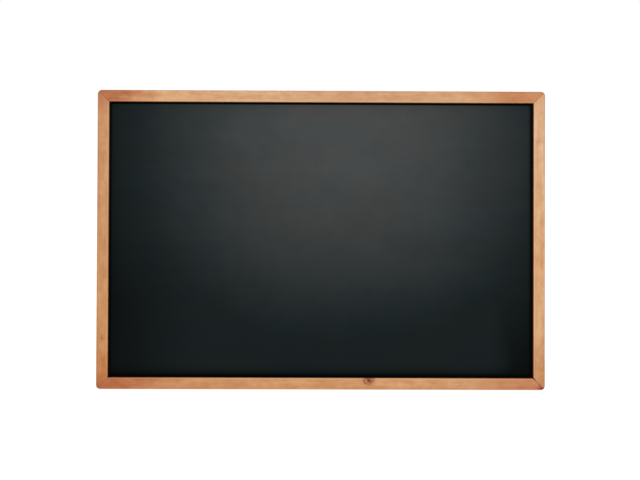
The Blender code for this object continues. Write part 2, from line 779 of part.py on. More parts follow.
WOOD = material("honey_stained_pine", (0.60, 0.32, 0.15), 0.45)
STRUT_WOOD = material("clear_pine", (0.66, 0.44, 0.25), 0.55)
CHALK = material("chalkboard_paint", (0.030, 0.036, 0.038), 0.60)
HARDBOARD = material("backing_hardboard", (0.28, 0.17, 0.09), 0.75)
ZINC = material("zinc_plated_steel", (0.62, 0.63, 0.64), 0.35, 1.0)
NICKEL = material("nickel_plated_steel", (0.70, 0.68, 0.64), 0.22, 1.0)
RUBBER = material("black_rubber", (0.02, 0.02, 0.02), 0.80)

BOARD = empty("board_frame", turn=-LEAN)
STRUT = empty("strut_axis", BOARD, (0, HINGE_AXIS_Y, HINGE_HEIGHT), STRUT_OPENING)
RAIL_SCREWS = rail_screw_places()

make_rails(make_v_nails())
make_panels()
make_turn_buttons()
make_hangers()
make_bumpers()
make_hinge_base()
make_hinge_pin()
make_hinge_web()
make_strut()
make_rivets()
make_foot_pad()
centre_on_footprint()
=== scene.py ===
import json
import math

import bmesh
import bpy
from mathutils import Matrix, Vector, noise


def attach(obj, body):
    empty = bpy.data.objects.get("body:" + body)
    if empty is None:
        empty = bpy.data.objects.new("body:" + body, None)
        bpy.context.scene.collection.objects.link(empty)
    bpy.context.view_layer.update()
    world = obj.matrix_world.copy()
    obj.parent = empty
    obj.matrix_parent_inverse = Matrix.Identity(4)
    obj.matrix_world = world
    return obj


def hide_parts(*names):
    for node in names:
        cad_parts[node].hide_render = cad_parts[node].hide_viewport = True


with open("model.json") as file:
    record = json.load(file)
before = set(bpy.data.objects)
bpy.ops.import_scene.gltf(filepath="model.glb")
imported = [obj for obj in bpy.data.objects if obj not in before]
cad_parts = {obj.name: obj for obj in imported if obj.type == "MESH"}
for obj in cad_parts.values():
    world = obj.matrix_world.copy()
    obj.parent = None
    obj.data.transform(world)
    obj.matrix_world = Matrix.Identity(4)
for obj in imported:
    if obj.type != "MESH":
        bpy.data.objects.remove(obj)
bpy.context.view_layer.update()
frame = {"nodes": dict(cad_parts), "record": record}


# Frame rails
# Four lengths of slim pine moulding with a rabbet behind, stained honey and rubbed with a satin varnish.
# They are mitred, glued and nailed from behind, and their edges were eased by hand after glueing.

BOARD_WIDTH = 0.600
BOARD_HEIGHT = 0.400
HALF_WIDTH = BOARD_WIDTH / 2
HALF_HEIGHT = BOARD_HEIGHT / 2
RAIL_FACE = 0.0155
RAIL_DEPTH = 0.016
LIP_DEPTH = 0.0065
LAND_WIDTH = 0.0105
OUTER_EASING = 0.0015
INNER_EASING = 0.0013
REAR_EASING = 0.0005
END_ZONE = RAIL_FACE + 0.003
MITRE_OPEN_DEPTH = 0.0035
RAIL_WEAR = 0.00004
RAIL_STEPS = 44
CORNER_STEPS = 14
# Each corner's radius, and how far its mitre has opened at the front, outside and inside
MITRES = {
    "top_left": (0.0060, 0.00012, 0.00040),
    "top_right": (0.0055, 0.00022, 0.00010),
    "bottom_left": (0.0052, 0.00004, 0.00010),
    "bottom_right": (0.0056, 0.00002, 0.00240),
}

top_mount = next(m for m in frame["record"]["mounts"] if m["name"] == "frame_top")
board_up = Vector(top_mount["axis"]).normalized()
LEAN = math.atan2(board_up.y, board_up.z)
board_back = Vector((0, math.cos(LEAN), -math.sin(LEAN)))
board_foot = Vector(top_mount["pos_m"]) - board_up * BOARD_HEIGHT + board_back * RAIL_DEPTH / 2
# Takes x to the right, y back from the frame's rear face and z up the board to the places they have at rest
BOARD = Matrix.Translation(board_foot) @ Matrix.Rotation(-LEAN, 4, "X")


def new_object(name, data):
    """An object in the scene that holds this mesh, curve, light or camera."""
    made = bpy.data.objects.new(name, data)
    bpy.context.scene.collection.objects.link(made)
    return made


def piece(name, mesh, place, finish, body, slot, *nodes):
    """Puts a finished piece in its place, where it stands for the CAD nodes named."""
    mesh.transform(place)
    mesh.materials.clear()
    mesh.materials.append(finish)
    mesh.shade_smooth()
    mesh.set_sharp_from_angle(angle=math.radians(35))
    made = new_object(name, mesh)
    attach(made, body)
    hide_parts(*nodes)


def mesh_from(bm, name):
    mesh = bpy.data.meshes.new(name)
    bm.to_mesh(mesh)
    bm.free()
    return mesh


def closed_mesh(name, rows, closed_ends=True):
    """Skins rows of points, each a closed ring of the same length, and caps both ends."""
    bm = bmesh.new()
    rings = [[bm.verts.new(point) for point in row] for row in rows]
    for near, far in zip(rings, rings[1:]):
        for k in range(len(near)):
            after = (k + 1) % len(near)
            bm.faces.new((near[k], near[after], far[after], far[k]))
    if closed_ends:
        bm.faces.new(rings[0])
        bm.faces.new(rings[-1])
    bmesh.ops.recalc_face_normals(bm, faces=bm.faces)
    return mesh_from(bm, name)


def arc(centre, radius, start, end, steps):
    """Points along an arc, both ends included, with the angles in degrees from the first axis."""
    angles = [math.radians(start + (end - start) * k / steps) for k in range(steps + 1)]
    return [(centre[0] + radius * math.cos(a), centre[1] + radius * math.sin(a)) for a in angles]


def rail_section():
    """The moulding's outline as (distance in from the outer edge, depth behind the front face)."""
    inner_turn = RAIL_FACE - INNER_EASING
    points = arc((OUTER_EASING, OUTER_EASING), OUTER_EASING, 180, 270, 6)
    points += [(OUTER_EASING + (inner_turn - OUTER_EASING) * k / 8, 0) for k in range(1, 8)]
    points += arc((inner_turn, INNER_EASING), INNER_EASING, -90, 0, 7)
    points += [(RAIL_FACE, MITRE_OPEN_DEPTH), (RAIL_FACE, LIP_DEPTH), (LAND_WIDTH, LIP_DEPTH)]
    points += [(LAND_WIDTH, RAIL_DEPTH)]
    points += arc((REAR_EASING, RAIL_DEPTH - REAR_EASING), REAR_EASING, 90, 180, 3)
    points += [(0, MITRE_OPEN_DEPTH)]
    return points


def moved_in(across, short, radius):
    """Where a point of the section comes to lie across the rail, this short of the rounded corner."""
    into = radius - short
    cut = radius - math.sqrt(max(0, radius**2 - into**2)) if into > 0 else 0
    return across + cut * max(0, 1 - max(0, across - OUTER_EASING) / radius)


def mitre_end(across, deep, corner):
    """How short of the corner a line of the section ends, at a mitre that is shut behind its front."""
    radius, outside, inside = MITRES[corner]
    gap = outside + (inside - outside) * min(1, across / RAIL_FACE) ** 8
    gap *= max(0, 1 - deep / MITRE_OPEN_DEPTH) * math.sqrt(0.5)
    low, high = 0, 2 * RAIL_FACE
    for _ in range(30):
        short = (low + high) / 2
        if short > moved_in(across, short, radius) + gap:
            high = short
        else:
            low = short
    return high


def rail_mesh(name, half_length, start, ahead, inside, low_corner, high_corner):
    """The rail from mitre to mitre, with its grain coordinates: along, across from the outer edge, deep."""
    section = rail_section()
    steps = [k / RAIL_STEPS * 2 - 1 for k in range(RAIL_STEPS + 1)]
    run_in = [1 - (1 - k / CORNER_STEPS) ** 1.6 for k in range(1, CORNER_STEPS + 1)]
    stations = [-(1 + t) for t in reversed(run_in)] + steps + [1 + t for t in run_in]
    rows, grain = [], []
    for station in stations:
        corner = high_corner if station > 0 else low_corner
        straight = half_length - END_ZONE
        row = []
        for across, deep in section:
            beyond = max(0, abs(station) - 1)
            along = min(abs(station), 1) * straight
            along += beyond * (END_ZONE - mitre_end(across, deep, corner))
            inwards = moved_in(across, half_length - along, MITRES[corner][0])
            along = math.copysign(along, station)
            seed = Vector((along / 0.06, inwards / 0.02, half_length * 40 + start.x * 9))
            worn = RAIL_WEAR * (1 + noise.noise(seed)) if deep < INNER_EASING else 0
            rubbed = worn * (1 - 2 * across / RAIL_FACE)
            point = start + ahead * along + inside * (inwards + rubbed)
            row.append(point + Vector((0, deep + worn, 0)))
            grain.append((along, inwards, deep))
        rows.append(row)
    mesh = closed_mesh(name, rows)
    stored = mesh.attributes.new("grain", "FLOAT_VECTOR", "POINT")
    for item, value in zip(stored.data, grain):
        item.vector = value
    return mesh


class Feed:
    """What one node feeds to the next. Arithmetic on a number adds the Math nodes."""

    def __init__(self, tree, socket):
        self.tree = tree
        self.socket = socket

    def node(self, kind, settings, values, out=0):
        """Adds a node, sets its settings, and then gives its sockets their values or links."""
        made = self.tree.nodes.new(kind)
        for key, setting in settings.items():
            if key == "stops":
                made.color_ramp.elements.remove(made.color_ramp.elements[1])
                for number, (place, colour) in enumerate(setting):
                    ramp = made.color_ramp.elements
                    stop = ramp[0] if number == 0 else ramp.new(place)
                    stop.position, stop.color = place, (*colour, 1)
            else:
                setattr(made, key, setting)
        for key, value in values.items():
            if isinstance(value, Feed):
                value = [value]
            if isinstance(value, list):
                for feed in value:
                    self.tree.links.new(feed.socket, made.inputs[key])
            else:
                made.inputs[key].default_value = value
        return Feed(self.tree, made.outputs[out])

    def math(self, operation, *others):
        """A Math node that takes this number first and the others after it."""
        return self.node("ShaderNodeMath", {"operation": operation}, dict(enumerate((self, *others))))

    def vector(self, x, y, z):
        return self.node("ShaderNodeCombineXYZ", {}, {0: x, 1: y, 2: z})

    def sine(self):
        return self.math("SINE")

    def size(self):
        return self.math("ABSOLUTE")

    def maximum(self, least):
        return self.math("MAXIMUM", least)

    def clipped(self):
        return self.maximum(0.0).math("MINIMUM", 1.0)

    def __add__(self, other):
        return self.math("ADD", other)

    def __sub__(self, other):
        return self.math("SUBTRACT", other)

    def __rsub__(self, other):
        return self.node("ShaderNodeMath", {"operation": "SUBTRACT"}, {0: other, 1: self})

    def __mul__(self, other):
        return self.math("MULTIPLY", other)

    def __truediv__(self, other):
        return self.math("DIVIDE", other)

    def __pow__(self, other):
        return self.math("POWER", other)

    __radd__ = __add__
    __rmul__ = __mul__


def new_finish(name, fixed):
    """A material with a Principled shader whose constant values are set. Returns it with the shader."""
    made = bpy.data.materials.new(name)
    made.use_nodes = True
    shader = made.node_tree.nodes["Principled BSDF"]
    for key, value in fixed.items():
        shader.inputs[key].default_value = value
    return made, shader


def paint_on(shader, colour, roughness, relief):
    """Links what changes over the surface to the shader."""
    for key, value in {"Base Color": colour, "Roughness": roughness, "Normal": relief}.items():
        value.tree.links.new(value.socket, shader.inputs[key])


def attribute(finish, name):
    made = finish.node_tree.nodes.new("ShaderNodeAttribute")
    made.attribute_name = name
    return Feed(finish.node_tree, made.outputs["Vector"])


def axes(vector):
    """The three numbers of a vector."""
    split = vector.node("ShaderNodeSeparateXYZ", {}, {0: vector})
    return [Feed(vector.tree, output) for output in split.socket.node.outputs]


def cloud(vector, sizes, seed, detail, roughness=0.5):
    """Soft noise from 0 to 1 whose blotches have this size, or these three, in metres."""
    sizes = sizes if isinstance(sizes, tuple) else (sizes,) * 3
    scale = tuple(1 / size for size in sizes)
    moved = vector.node("ShaderNodeMapping", {}, {"Vector": vector, "Scale": scale, "Location": (seed,) * 3})
    values = {"Vector": moved, "Scale": 1.0, "Detail": detail, "Roughness": roughness}
    return vector.node("ShaderNodeTexNoise", {}, values)


def rise(value, low, high, bottom=0.0, top=1.0):
    """A smooth step from bottom to top as value goes from low to high."""
    values = {0: value, 1: low, 2: high, 3: bottom, 4: top}
    return value.node("ShaderNodeMapRange", {"interpolation_type": "SMOOTHSTEP"}, values)


def fall(value, low, high):
    """A smooth step from 1 to 0 as value goes from low to high."""
    return rise(value, low, high, 1.0, 0.0)


def tinted(mask, under, over, blend="MIX"):
    """Lays the colour over on the colour under, where mask is 1."""
    colours = {0: mask, 6: under, 7: over}
    colours = {key: (*value, 1) if isinstance(value, tuple) else value for key, value in colours.items()}
    source = next(value for value in colours.values() if isinstance(value, Feed))
    return source.node("ShaderNodeMix", {"data_type": "RGBA", "blend_type": blend}, colours, out=2)


def bump(height, distance):
    return height.node("ShaderNodeBump", {}, {"Height": height, "Distance": distance, "Strength": 1.0})


def shade(*levels):
    """The colour that shows as these red, green and blue levels out of 255."""
    return tuple(((level / 255 + 0.055) / 1.055) ** 2.4 if level > 10 else level / 3295 for level in levels)


def pine_figure(grain, seed):
    """Pine's figure from 0, dark, to 1, light, and its fibres, for grain coordinates in metres."""
    _, across, _ = axes(grain)
    body = cloud(grain, (0.090, 0.0065, 0.0065), seed, 3)
    streaks = cloud(grain, (0.030, 0.0012, 0.0012), seed + 3, 4, 0.6)
    wander = cloud(grain, (0.150, 0.020, 0.020), seed + 7, 1)
    fibres = cloud(grain, (0.0050, 0.00022, 0.00022), seed + 11, 2)
    rings = ((across / 0.0037 + wander * 5.0) * math.tau).sine()
    latewood = rise(rings, 0.35, 1.0)
    flame = cloud(grain, (0.017, 0.0120, 0.0120), seed + 17, 3, 0.62)
    figure = 0.56 + (body - 0.5) * 1.1 + (flame - 0.5) * 1.6 + (streaks - 0.5) * 0.6
    figure = figure - latewood * 0.12 + (fibres - 0.5) * 0.2
    return figure, fibres, latewood


RAW_PINE = shade(216, 178, 129)
RAW_PINE_DARK = shade(188, 142, 92)
# Painted shade for the rails' very inner edge
SHADED_INNER_EDGE = shade(132, 60, 30)
GLUE_BROWN = shade(112, 60, 32)
# Painted light and shade for the rabbet's inner wall: lit, shaded, and darkest deep in the rabbet
LIT_WALL = shade(126, 62, 34)
SHADED_WALL = shade(60, 30, 18)
DEEP_WALL_SHADE = shade(16, 9, 7)
CHERRY_STAIN = shade(126, 42, 32)
THIN_STAIN = shade(176, 92, 68)
MITRE_STAIN = shade(128, 56, 40)
# The stain's tones along each rail, with painted light and shade in them, lighter on the right rail than on
# the left and bottom ones: percent from its left or lower end, then red, green and blue
RAIL_TONES = {
    "top": [
        (0, 176, 107, 66), (5, 179, 110, 68), (9, 198, 136, 90), (14, 210, 159, 113),
        (30, 210, 163, 119), (42, 210, 163, 119), (56, 200, 149, 106), (76, 204, 154, 109),
        (86, 201, 147, 99), (92, 187, 121, 71), (100, 196, 130, 80),
    ],
    "bottom": [
        (0, 176, 101, 60), (8, 190, 119, 73), (16, 203, 141, 94), (33, 208, 151, 102),
        (62, 211, 155, 105), (72, 211, 155, 105), (84, 208, 153, 106), (92, 200, 136, 90),
        (100, 194, 128, 84),
    ],
    "left": [
        (0, 178, 106, 57), (8, 193, 125, 71), (18, 205, 148, 96), (55, 199, 145, 98),
        (75, 203, 150, 104), (92, 200, 145, 101), (100, 183, 118, 82),
    ],
    "right": [
        (0, 191, 126, 80), (12, 210, 157, 109), (20, 218, 169, 123), (45, 214, 165, 118),
        (75, 215, 170, 127), (90, 216, 174, 135), (100, 203, 149, 105),
    ],
}


def rail_wood(side, half_length, seed, low_corner, high_corner):
    finish, shader = new_finish(f"honey_pine_{side}", {"Specular IOR Level": 0.35, "IOR": 1.5})
    grain = attribute(finish, "grain")
    along, across, deep = axes(grain)
    figure, fibres, latewood = pine_figure(grain, seed)
    place = along / (2 * half_length) + 0.5
    tones = [(percent / 100, shade(*levels)) for percent, *levels in RAIL_TONES[side]]
    tone = place.node("ShaderNodeValToRGB", {"stops": tones}, {0: place + (figure - 0.5) * 0.04})
    dark = tinted(1.0, tone, (0.81, 0.66, 0.52), "MULTIPLY")
    light = tinted(1.0, tone, (1.08, 1.15, 1.22), "MULTIPLY")
    colour = tinted(figure.clipped(), dark, light)
    on_face = fall(deep, 0.0015, 0.0025)
    # Painted shade on the rounded outer edge: its colour darkens towards the outside
    colour = tinted(rise(across, 0.0003, 0.0018, 0.75, 0.0), colour, dark)
    # Painted highlight along the rounded inner edge of the face
    inner_edge_highlight = rise(across, RAIL_FACE - 0.0024, RAIL_FACE - 0.0012) * on_face
    colour = tinted(inner_edge_highlight * 0.85, colour, light)
    # Painted shade: a reddish-brown line at the very inner edge, strongest on the right rail
    inner_edge_shade = rise(across, RAIL_FACE - 0.0006, RAIL_FACE - 0.0001)
    colour = tinted(inner_edge_shade * (0.85 if side == "right" else 0.40), colour, SHADED_INNER_EDGE)
    if side == "bottom":
        colour = with_knot(colour, grain, along, across)
    if side == "left":
        colour = with_resin_fleck(colour, along, across)
    if low_corner == "bottom_right" or high_corner == "bottom_right":
        towards = -1 if low_corner == "bottom_right" else 1
        colour = with_corner_stain(colour, grain, along * towards, across, half_length, side)
    glue_line = fall(half_length - across - along.size(), 0.0002, 0.0008)
    colour = tinted(glue_line * 0.36, colour, GLUE_BROWN)
    frayed = across + (figure - 0.5) * 0.003
    bare = rise(deep, RAIL_DEPTH - 0.0004, RAIL_DEPTH - 0.0001) * rise(frayed, 0.001, 0.0035)
    colour = tinted(bare * 0.75, colour, tinted(figure.clipped(), RAW_PINE_DARK, RAW_PINE))
    # Painted light and shade on the rabbet's inner wall: lit on the right rail, shaded on the others, and
    # painted darker to black deeper in the rabbet
    wall = rise(across, RAIL_FACE - 0.00012, RAIL_FACE - 0.00002) * rise(deep, 0.0012, 0.0030)
    wall = wall * fall(deep, LIP_DEPTH + 0.0001, LIP_DEPTH + 0.0004)
    wall_tone = LIT_WALL if side == "right" else SHADED_WALL
    colour = tinted(wall * 0.95, colour, tinted(rise(deep, 0.0030, 0.0058), wall_tone, DEEP_WALL_SHADE))
    roughness = 0.40 + (fibres - 0.5) * 0.18 + latewood * 0.05 + bare * 0.2
    relief = bump(fibres * 0.6 + latewood * 0.5, 0.00006)
    paint_on(shader, colour, roughness, relief)
    return finish


KNOT_ALONG = 0.0645
KNOT_ACROSS = 0.0125
KNOT_SIZE = (0.0088, 0.0074)
KNOT_HEART = (0.0022, 0.0020)
KNOT_HALO_BROWN = shade(192, 112, 70)
KNOT_FLECK_BROWN = shade(134, 66, 36)
KNOT_RIM_BROWN = shade(104, 42, 34)
KNOT_PITH_BROWN = shade(92, 38, 18)
FLECK_RISE = 0.068
FLECK_ACROSS = 0.0078
FLECK_SIZE = (0.0021, 0.0007)
RESIN_BROWN = shade(112, 66, 36)


def distance(east, north, size):
    """How far off a place is, in sizes of a spot that is this wide and high."""
    east, north = east / size[0], north / size[1]
    return (east * east + north * north).math("SQRT")


def with_knot(colour, grain, along, across):
    """A small pin knot beside the bottom rail's inner edge, with brown flecks fanned round it."""
    east, north = along - KNOT_ALONG, across - KNOT_ACROSS
    off = distance(east + 0.0004, north, KNOT_SIZE)
    turn = east.math("ARCTAN2", north * -1.0)
    fan = cloud(turn.vector(turn, off, 0.0), (0.34, 0.32, 1.0), 4.0, 3, 0.6)
    uneven = cloud(grain, (0.0030, 0.0024, 0.0030), 4.0, 3) - 0.5
    halo = fall(off + uneven * 0.9, 0.50, 1.25)
    heart = fall(distance(east, north, KNOT_HEART) + uneven * 1.0 + (fan - 0.5), 0.30, 1.60)
    rings = ((off * 5.0 + uneven * 2.0) * math.tau).sine()
    flecks = rise(fan + rings * 0.05, 0.38, 0.58) * halo
    rim = rise(across, RAIL_FACE - 0.0020, RAIL_FACE - 0.0004) * fall(east.size(), 0.0030, 0.0085)
    colour = tinted(halo * 0.55, colour, KNOT_HALO_BROWN)
    colour = tinted(flecks * 0.90, colour, KNOT_FLECK_BROWN)
    colour = tinted(rim * 0.55, colour, KNOT_RIM_BROWN)
    return tinted(heart * 0.92, colour, KNOT_PITH_BROWN)


def with_corner_stain(colour, grain, along, across, half_length, side):
    """Worn, dark red stain at the lower right corner, which ran up the bottom rail's side of the mitre."""
    short = half_length - along
    patchy = cloud(grain, (0.0026, 0.0018, 0.0026), 2.0, 2) - 0.5
    if side == "right":
        tip = distance(short - 0.0020, across - 0.0018, (0.0024, 0.0022)) + patchy * 0.5
        return tinted(rise(tip, 0.50, 1.10, 0.80, 0.0), colour, CHERRY_STAIN)
    wide = distance(short - 0.0050, across - 0.0022, (0.0066, 0.0044)) + patchy * 0.6
    tip = distance(short - 0.0036, across - 0.0018, (0.0050, 0.0030)) + patchy * 0.8
    beside = fall(short - across + patchy * 0.0012, 0.0010, 0.0030)
    run = beside * fall(short + patchy * 0.002, 0.0080, 0.0105)
    colour = tinted(rise(wide, 0.65, 1.10, 0.85, 0.0), colour, THIN_STAIN)
    colour = tinted(run * 0.75, colour, MITRE_STAIN)
    return tinted(rise(tip, 0.35, 1.10, 0.92, 0.0), colour, CHERRY_STAIN)


def with_resin_fleck(colour, along, across):
    """A short resin fleck in the left rail, near its lower end."""
    off = distance(along + HALF_HEIGHT - FLECK_RISE, across - FLECK_ACROSS, FLECK_SIZE)
    return tinted(rise(off, 0.4, 1.2, 0.8, 0.0), colour, RESIN_BROWN)


# Name: half its length, its outer edge's middle, its ways along and inwards, its two corners
RAILS = {
    "top": (HALF_WIDTH, (0, BOARD_HEIGHT), (1, 0), (0, -1), "top_left", "top_right"),
    "bottom": (HALF_WIDTH, (0, 0), (1, 0), (0, 1), "bottom_left", "bottom_right"),
    "left": (HALF_HEIGHT, (-HALF_WIDTH, HALF_HEIGHT), (0, 1), (1, 0), "bottom_left", "top_left"),
    "right": (HALF_HEIGHT, (HALF_WIDTH, HALF_HEIGHT), (0, 1), (-1, 0), "bottom_right", "top_right"),
}
for number, (side, (half_length, middle, along, inwards, low, high)) in enumerate(RAILS.items()):
    start = Vector((middle[0], -RAIL_DEPTH, middle[1]))
    ahead, inside = Vector((along[0], 0, along[1])), Vector((inwards[0], 0, inwards[1]))
    mesh = rail_mesh(f"{side}_rail", half_length, start, ahead, inside, low, high)
    finish = rail_wood(side, half_length, number * 5.3, low, high)
    piece(f"{side}_rail", mesh, BOARD, finish, "board", "frame_wood", f"rail_{side}")


# Writing panel
# Hardboard with three coats of black chalkboard paint, rolled on and rubbed down. Chalk wiped off with
# a dry cloth leaves a thin haze where people write most. The colour holds that dust together with a painted
# highlight of the soft light's reflection, lightest high up near the middle, painted shade towards the sides
# and foot, and a painted shadow line of bare black along the rails.

PANEL_SIDE_PLAY = 0.0005
PANEL_THICKNESS = 0.003
PANEL_GAP = 0.0003
PANEL_BOW = 0.00006
PANEL_ROWS = 60
PANEL_COLUMNS = 90


def panel_mesh():
    """The panel as a grid that bows and ripples by a tenth of a millimetre, on a flat back."""
    half_width = HALF_WIDTH - LAND_WIDTH - PANEL_SIDE_PLAY
    low, high = LAND_WIDTH + PANEL_SIDE_PLAY, BOARD_HEIGHT - LAND_WIDTH - PANEL_SIDE_PLAY
    front = -RAIL_DEPTH + LIP_DEPTH + PANEL_GAP
    bm = bmesh.new()
    bmesh.ops.create_grid(bm, x_segments=PANEL_COLUMNS, y_segments=PANEL_ROWS, size=1)
    for vertex in bm.verts:
        x, z = vertex.co.x * half_width, low + (vertex.co.y + 1) / 2 * (high - low)
        edge = min(1, (1 - abs(vertex.co.x)) * 8) * min(1, (1 - abs(vertex.co.y)) * 8)
        ripple = PANEL_BOW * noise.noise(Vector((x / 0.09, z / 0.07, 4.0)))
        vertex.co = (x, front + edge * (PANEL_BOW + ripple), z)
    rim = bmesh.ops.extrude_face_region(bm, geom=bm.faces[:])["geom"]
    for vertex in (item for item in rim if isinstance(item, bmesh.types.BMVert)):
        vertex.co.y = front + PANEL_THICKNESS
    bmesh.ops.recalc_face_normals(bm, faces=bm.faces)
    return mesh_from(bm, "chalk_panel")


def object_coordinates(finish):
    source = finish.node_tree.nodes.new("ShaderNodeTexCoord")
    return Feed(finish.node_tree, source.outputs["Object"])


def board_coordinates(finish):
    """The board's own coordinates: x to the right, y back and z up, in metres from its lower rear edge."""
    place = object_coordinates(finish)
    home = BOARD.inverted()
    values = {"Vector": place, "Rotation": home.to_euler(), "Location": home.translation}
    return place.node("ShaderNodeMapping", {}, values)


DUST_AND_HIGHLIGHT_MIDDLE = (0.030, 0.372)
DUST_AND_HIGHLIGHT_SIZE = (0.245, 0.255)
DUST_AND_HIGHLIGHT_FALL = 2.35
LEAST_DUST_AND_HIGHLIGHT = 0.21
# Painted shadow of the rails' lips: how far from the left, right, lower and upper rail the colour is bare
# black, and where the chalk dust and painted highlight are full
RAIL_SHADOW_BLACK = (0.0005, 0.001, 0.001, 0.0018)
RAIL_SHADOW_FADE = (0.004, 0.006, 0.008, 0.0032)
# The paint's colour from bare black to the thickest chalk dust and painted highlight
CHALK_AND_HIGHLIGHT_TONES = [
    (0.0, (0.0006, 0.0010, 0.0008)),
    (0.25, (0.0102, 0.0150, 0.0158)),
    (0.5, (0.0258, 0.0308, 0.0318)),
    (1.0, (0.0590, 0.0625, 0.0620)),
]


def chalk_paint():
    finish, shader = new_finish("chalkboard_paint", {"Specular IOR Level": 0.03})
    place = board_coordinates(finish)
    x, _, z = axes(place)
    # Chalk dust and a painted highlight of the soft light's reflection, lightest near the top and a little
    # right of the middle
    east = ((x - DUST_AND_HIGHLIGHT_MIDDLE[0]) / DUST_AND_HIGHLIGHT_SIZE[0]).size()
    north = ((z - DUST_AND_HIGHLIGHT_MIDDLE[1]) / DUST_AND_HIGHLIGHT_SIZE[1]).size()
    dust_and_highlight = ((east**DUST_AND_HIGHLIGHT_FALL + north**DUST_AND_HIGHLIGHT_FALL) * -1.0).math("EXPONENT")
    wiping = cloud(place, (0.20, 1.0, 0.034), 1.5, 3)
    blotches = cloud(place, (0.060, 1.0, 0.052), 8.0, 3)
    dabs = cloud(place, (0.017, 1.0, 0.014), 3.0, 2)
    cold = cloud(place, (0.11, 1.0, 0.08), 14.0, 3)
    stipple = cloud(place, 0.0011, 5.0, 3, 0.6)
    rubbed = 1 + (wiping - 0.5) * 0.20 + (blotches - 0.5) * 0.26
    dust_and_highlight = dust_and_highlight * (rubbed + (dabs - 0.5) * 0.20 + (stipple - 0.5) * 0.16)
    inside = HALF_WIDTH - RAIL_FACE
    # How far the place is from each rail's inner edge
    left, right, foot, top = x + inside, inside - x, z - RAIL_FACE, BOARD_HEIGHT - RAIL_FACE - z
    # Painted light and shade: a least level over the board that falls away towards the left, right and foot
    light_falloff = rise(left, 0.0, 0.14, 0.35) * rise(right, 0.004, 0.060) * rise(foot, 0.003, 0.018, 0.6)
    dust_and_highlight = dust_and_highlight.maximum(light_falloff * LEAST_DUST_AND_HIGHLIGHT)
    # Painted shadow along each rail: the colour fades to bare black towards its inner edge
    for off, bare, full in zip((left, right, foot, top), RAIL_SHADOW_BLACK, RAIL_SHADOW_FADE):
        dust_and_highlight = dust_and_highlight * rise(off, bare, full)
    colour = dust_and_highlight.node("ShaderNodeValToRGB", {"stops": CHALK_AND_HIGHLIGHT_TONES}, {0: dust_and_highlight})
    warmer = tinted(1.0, colour, (1.02, 1.00, 0.98), "MULTIPLY")
    colder = tinted(1.0, colour, (0.96, 1.00, 1.03), "MULTIPLY")
    colour = tinted(rise(cold, 0.44, 0.58), warmer, colder)
    roughness = 0.55 + dust_and_highlight * 0.12 + (stipple - 0.5) * 0.12
    paint_on(shader, colour, roughness, bump(stipple, 0.00004))
    return finish


piece("chalk_panel", panel_mesh(), BOARD, chalk_paint(), "board", "chalk_coat", "writing_panel")


# Corner nails
# Two pressed-steel V-nails across each mitre, driven into the frame's back until they are nearly flush.

V_NAIL_SHEET = 0.0005
V_NAIL_FLANK = 0.0042
V_NAIL_DEPTH = 0.008
V_NAIL_PROUD = 0.00006
V_NAIL_HALF_ANGLE = math.radians(55)
V_NAIL_PLACES = (0.005, 0.0105)


def shape_tree(name, inputs):
    """A geometry tree with these named inputs. Returns it with feeds for points, finish and each input."""
    tree = bpy.data.node_groups.new(name, "GeometryNodeTree")
    tree.interface.new_socket("Points", in_out="INPUT", socket_type="NodeSocketGeometry")
    tree.interface.new_socket("Shape", in_out="OUTPUT", socket_type="NodeSocketGeometry")
    tree.interface.new_socket("Finish", in_out="INPUT", socket_type="NodeSocketMaterial")
    for label in inputs:
        tree.interface.new_socket(label, in_out="INPUT", socket_type="NodeSocketFloat")
    source = tree.nodes.new("NodeGroupInput")
    return tree, [Feed(tree, source.outputs[label]) for label in ("Points", "Finish", *inputs)]


def finish_tree(tree, shape, finish):
    """Ends the tree: the instances become real and take their finish."""
    real = shape.node("GeometryNodeRealizeInstances", {}, {"Geometry": shape})
    done = real.node("GeometryNodeSetMaterial", {}, {"Geometry": real, "Material": finish})
    end = tree.nodes.new("NodeGroupOutput")
    tree.links.new(done.socket, end.inputs["Shape"])


def grown_mesh(name, tree, points, values, stored=None):
    """The plain mesh that the tree makes on these points, with these values for its named inputs."""
    base = bpy.data.meshes.new(name)
    base.from_pydata(points, [], [])
    for label, numbers in (stored or {}).items():
        base.attributes.new(label, "FLOAT", "POINT").data.foreach_set("value", numbers)
    carrier = new_object(name, base)
    modifier = carrier.modifiers.new(name, "NODES")
    modifier.node_group = tree
    for item in tree.interface.items_tree:
        if item.in_out == "INPUT" and item.name in values:
            modifier[item.identifier] = values[item.name]
    bpy.context.view_layer.update()
    graph = bpy.context.evaluated_depsgraph_get()
    mesh = bpy.data.meshes.new_from_object(carrier.evaluated_get(graph))
    carrier.modifiers.remove(modifier)
    bpy.data.objects.remove(carrier)
    return mesh


def v_nail_tree():
    inputs = ("Sheet", "Flank", "Depth", "Half Angle")
    tree, (points, finish, sheet, length, depth, half_angle) = shape_tree("v_nails", inputs)
    flank = length.node("GeometryNodeMeshCube", {}, {"Size": length.vector(length, depth, sheet)})
    middle = length.vector(length * 0.5, depth * -0.5, 0.0)
    flank = flank.node("GeometryNodeTransform", {}, {"Geometry": flank, "Translation": middle})
    sides = []
    for sign in (1, -1):
        turn = flank.vector(0.0, half_angle * sign, 0.0)
        sides.append(flank.node("GeometryNodeTransform", {}, {"Geometry": flank, "Rotation": turn}))
    nail = flank.node("GeometryNodeJoinGeometry", {}, {"Geometry": sides})
    heading = nail.node("GeometryNodeInputNamedAttribute", {"data_type": "FLOAT"}, {"Name": "heading"})
    placed = {"Points": points, "Instance": nail, "Rotation": nail.vector(0.0, heading, 0.0)}
    finish_tree(tree, nail.node("GeometryNodeInstanceOnPoints", {}, placed), finish)
    return tree


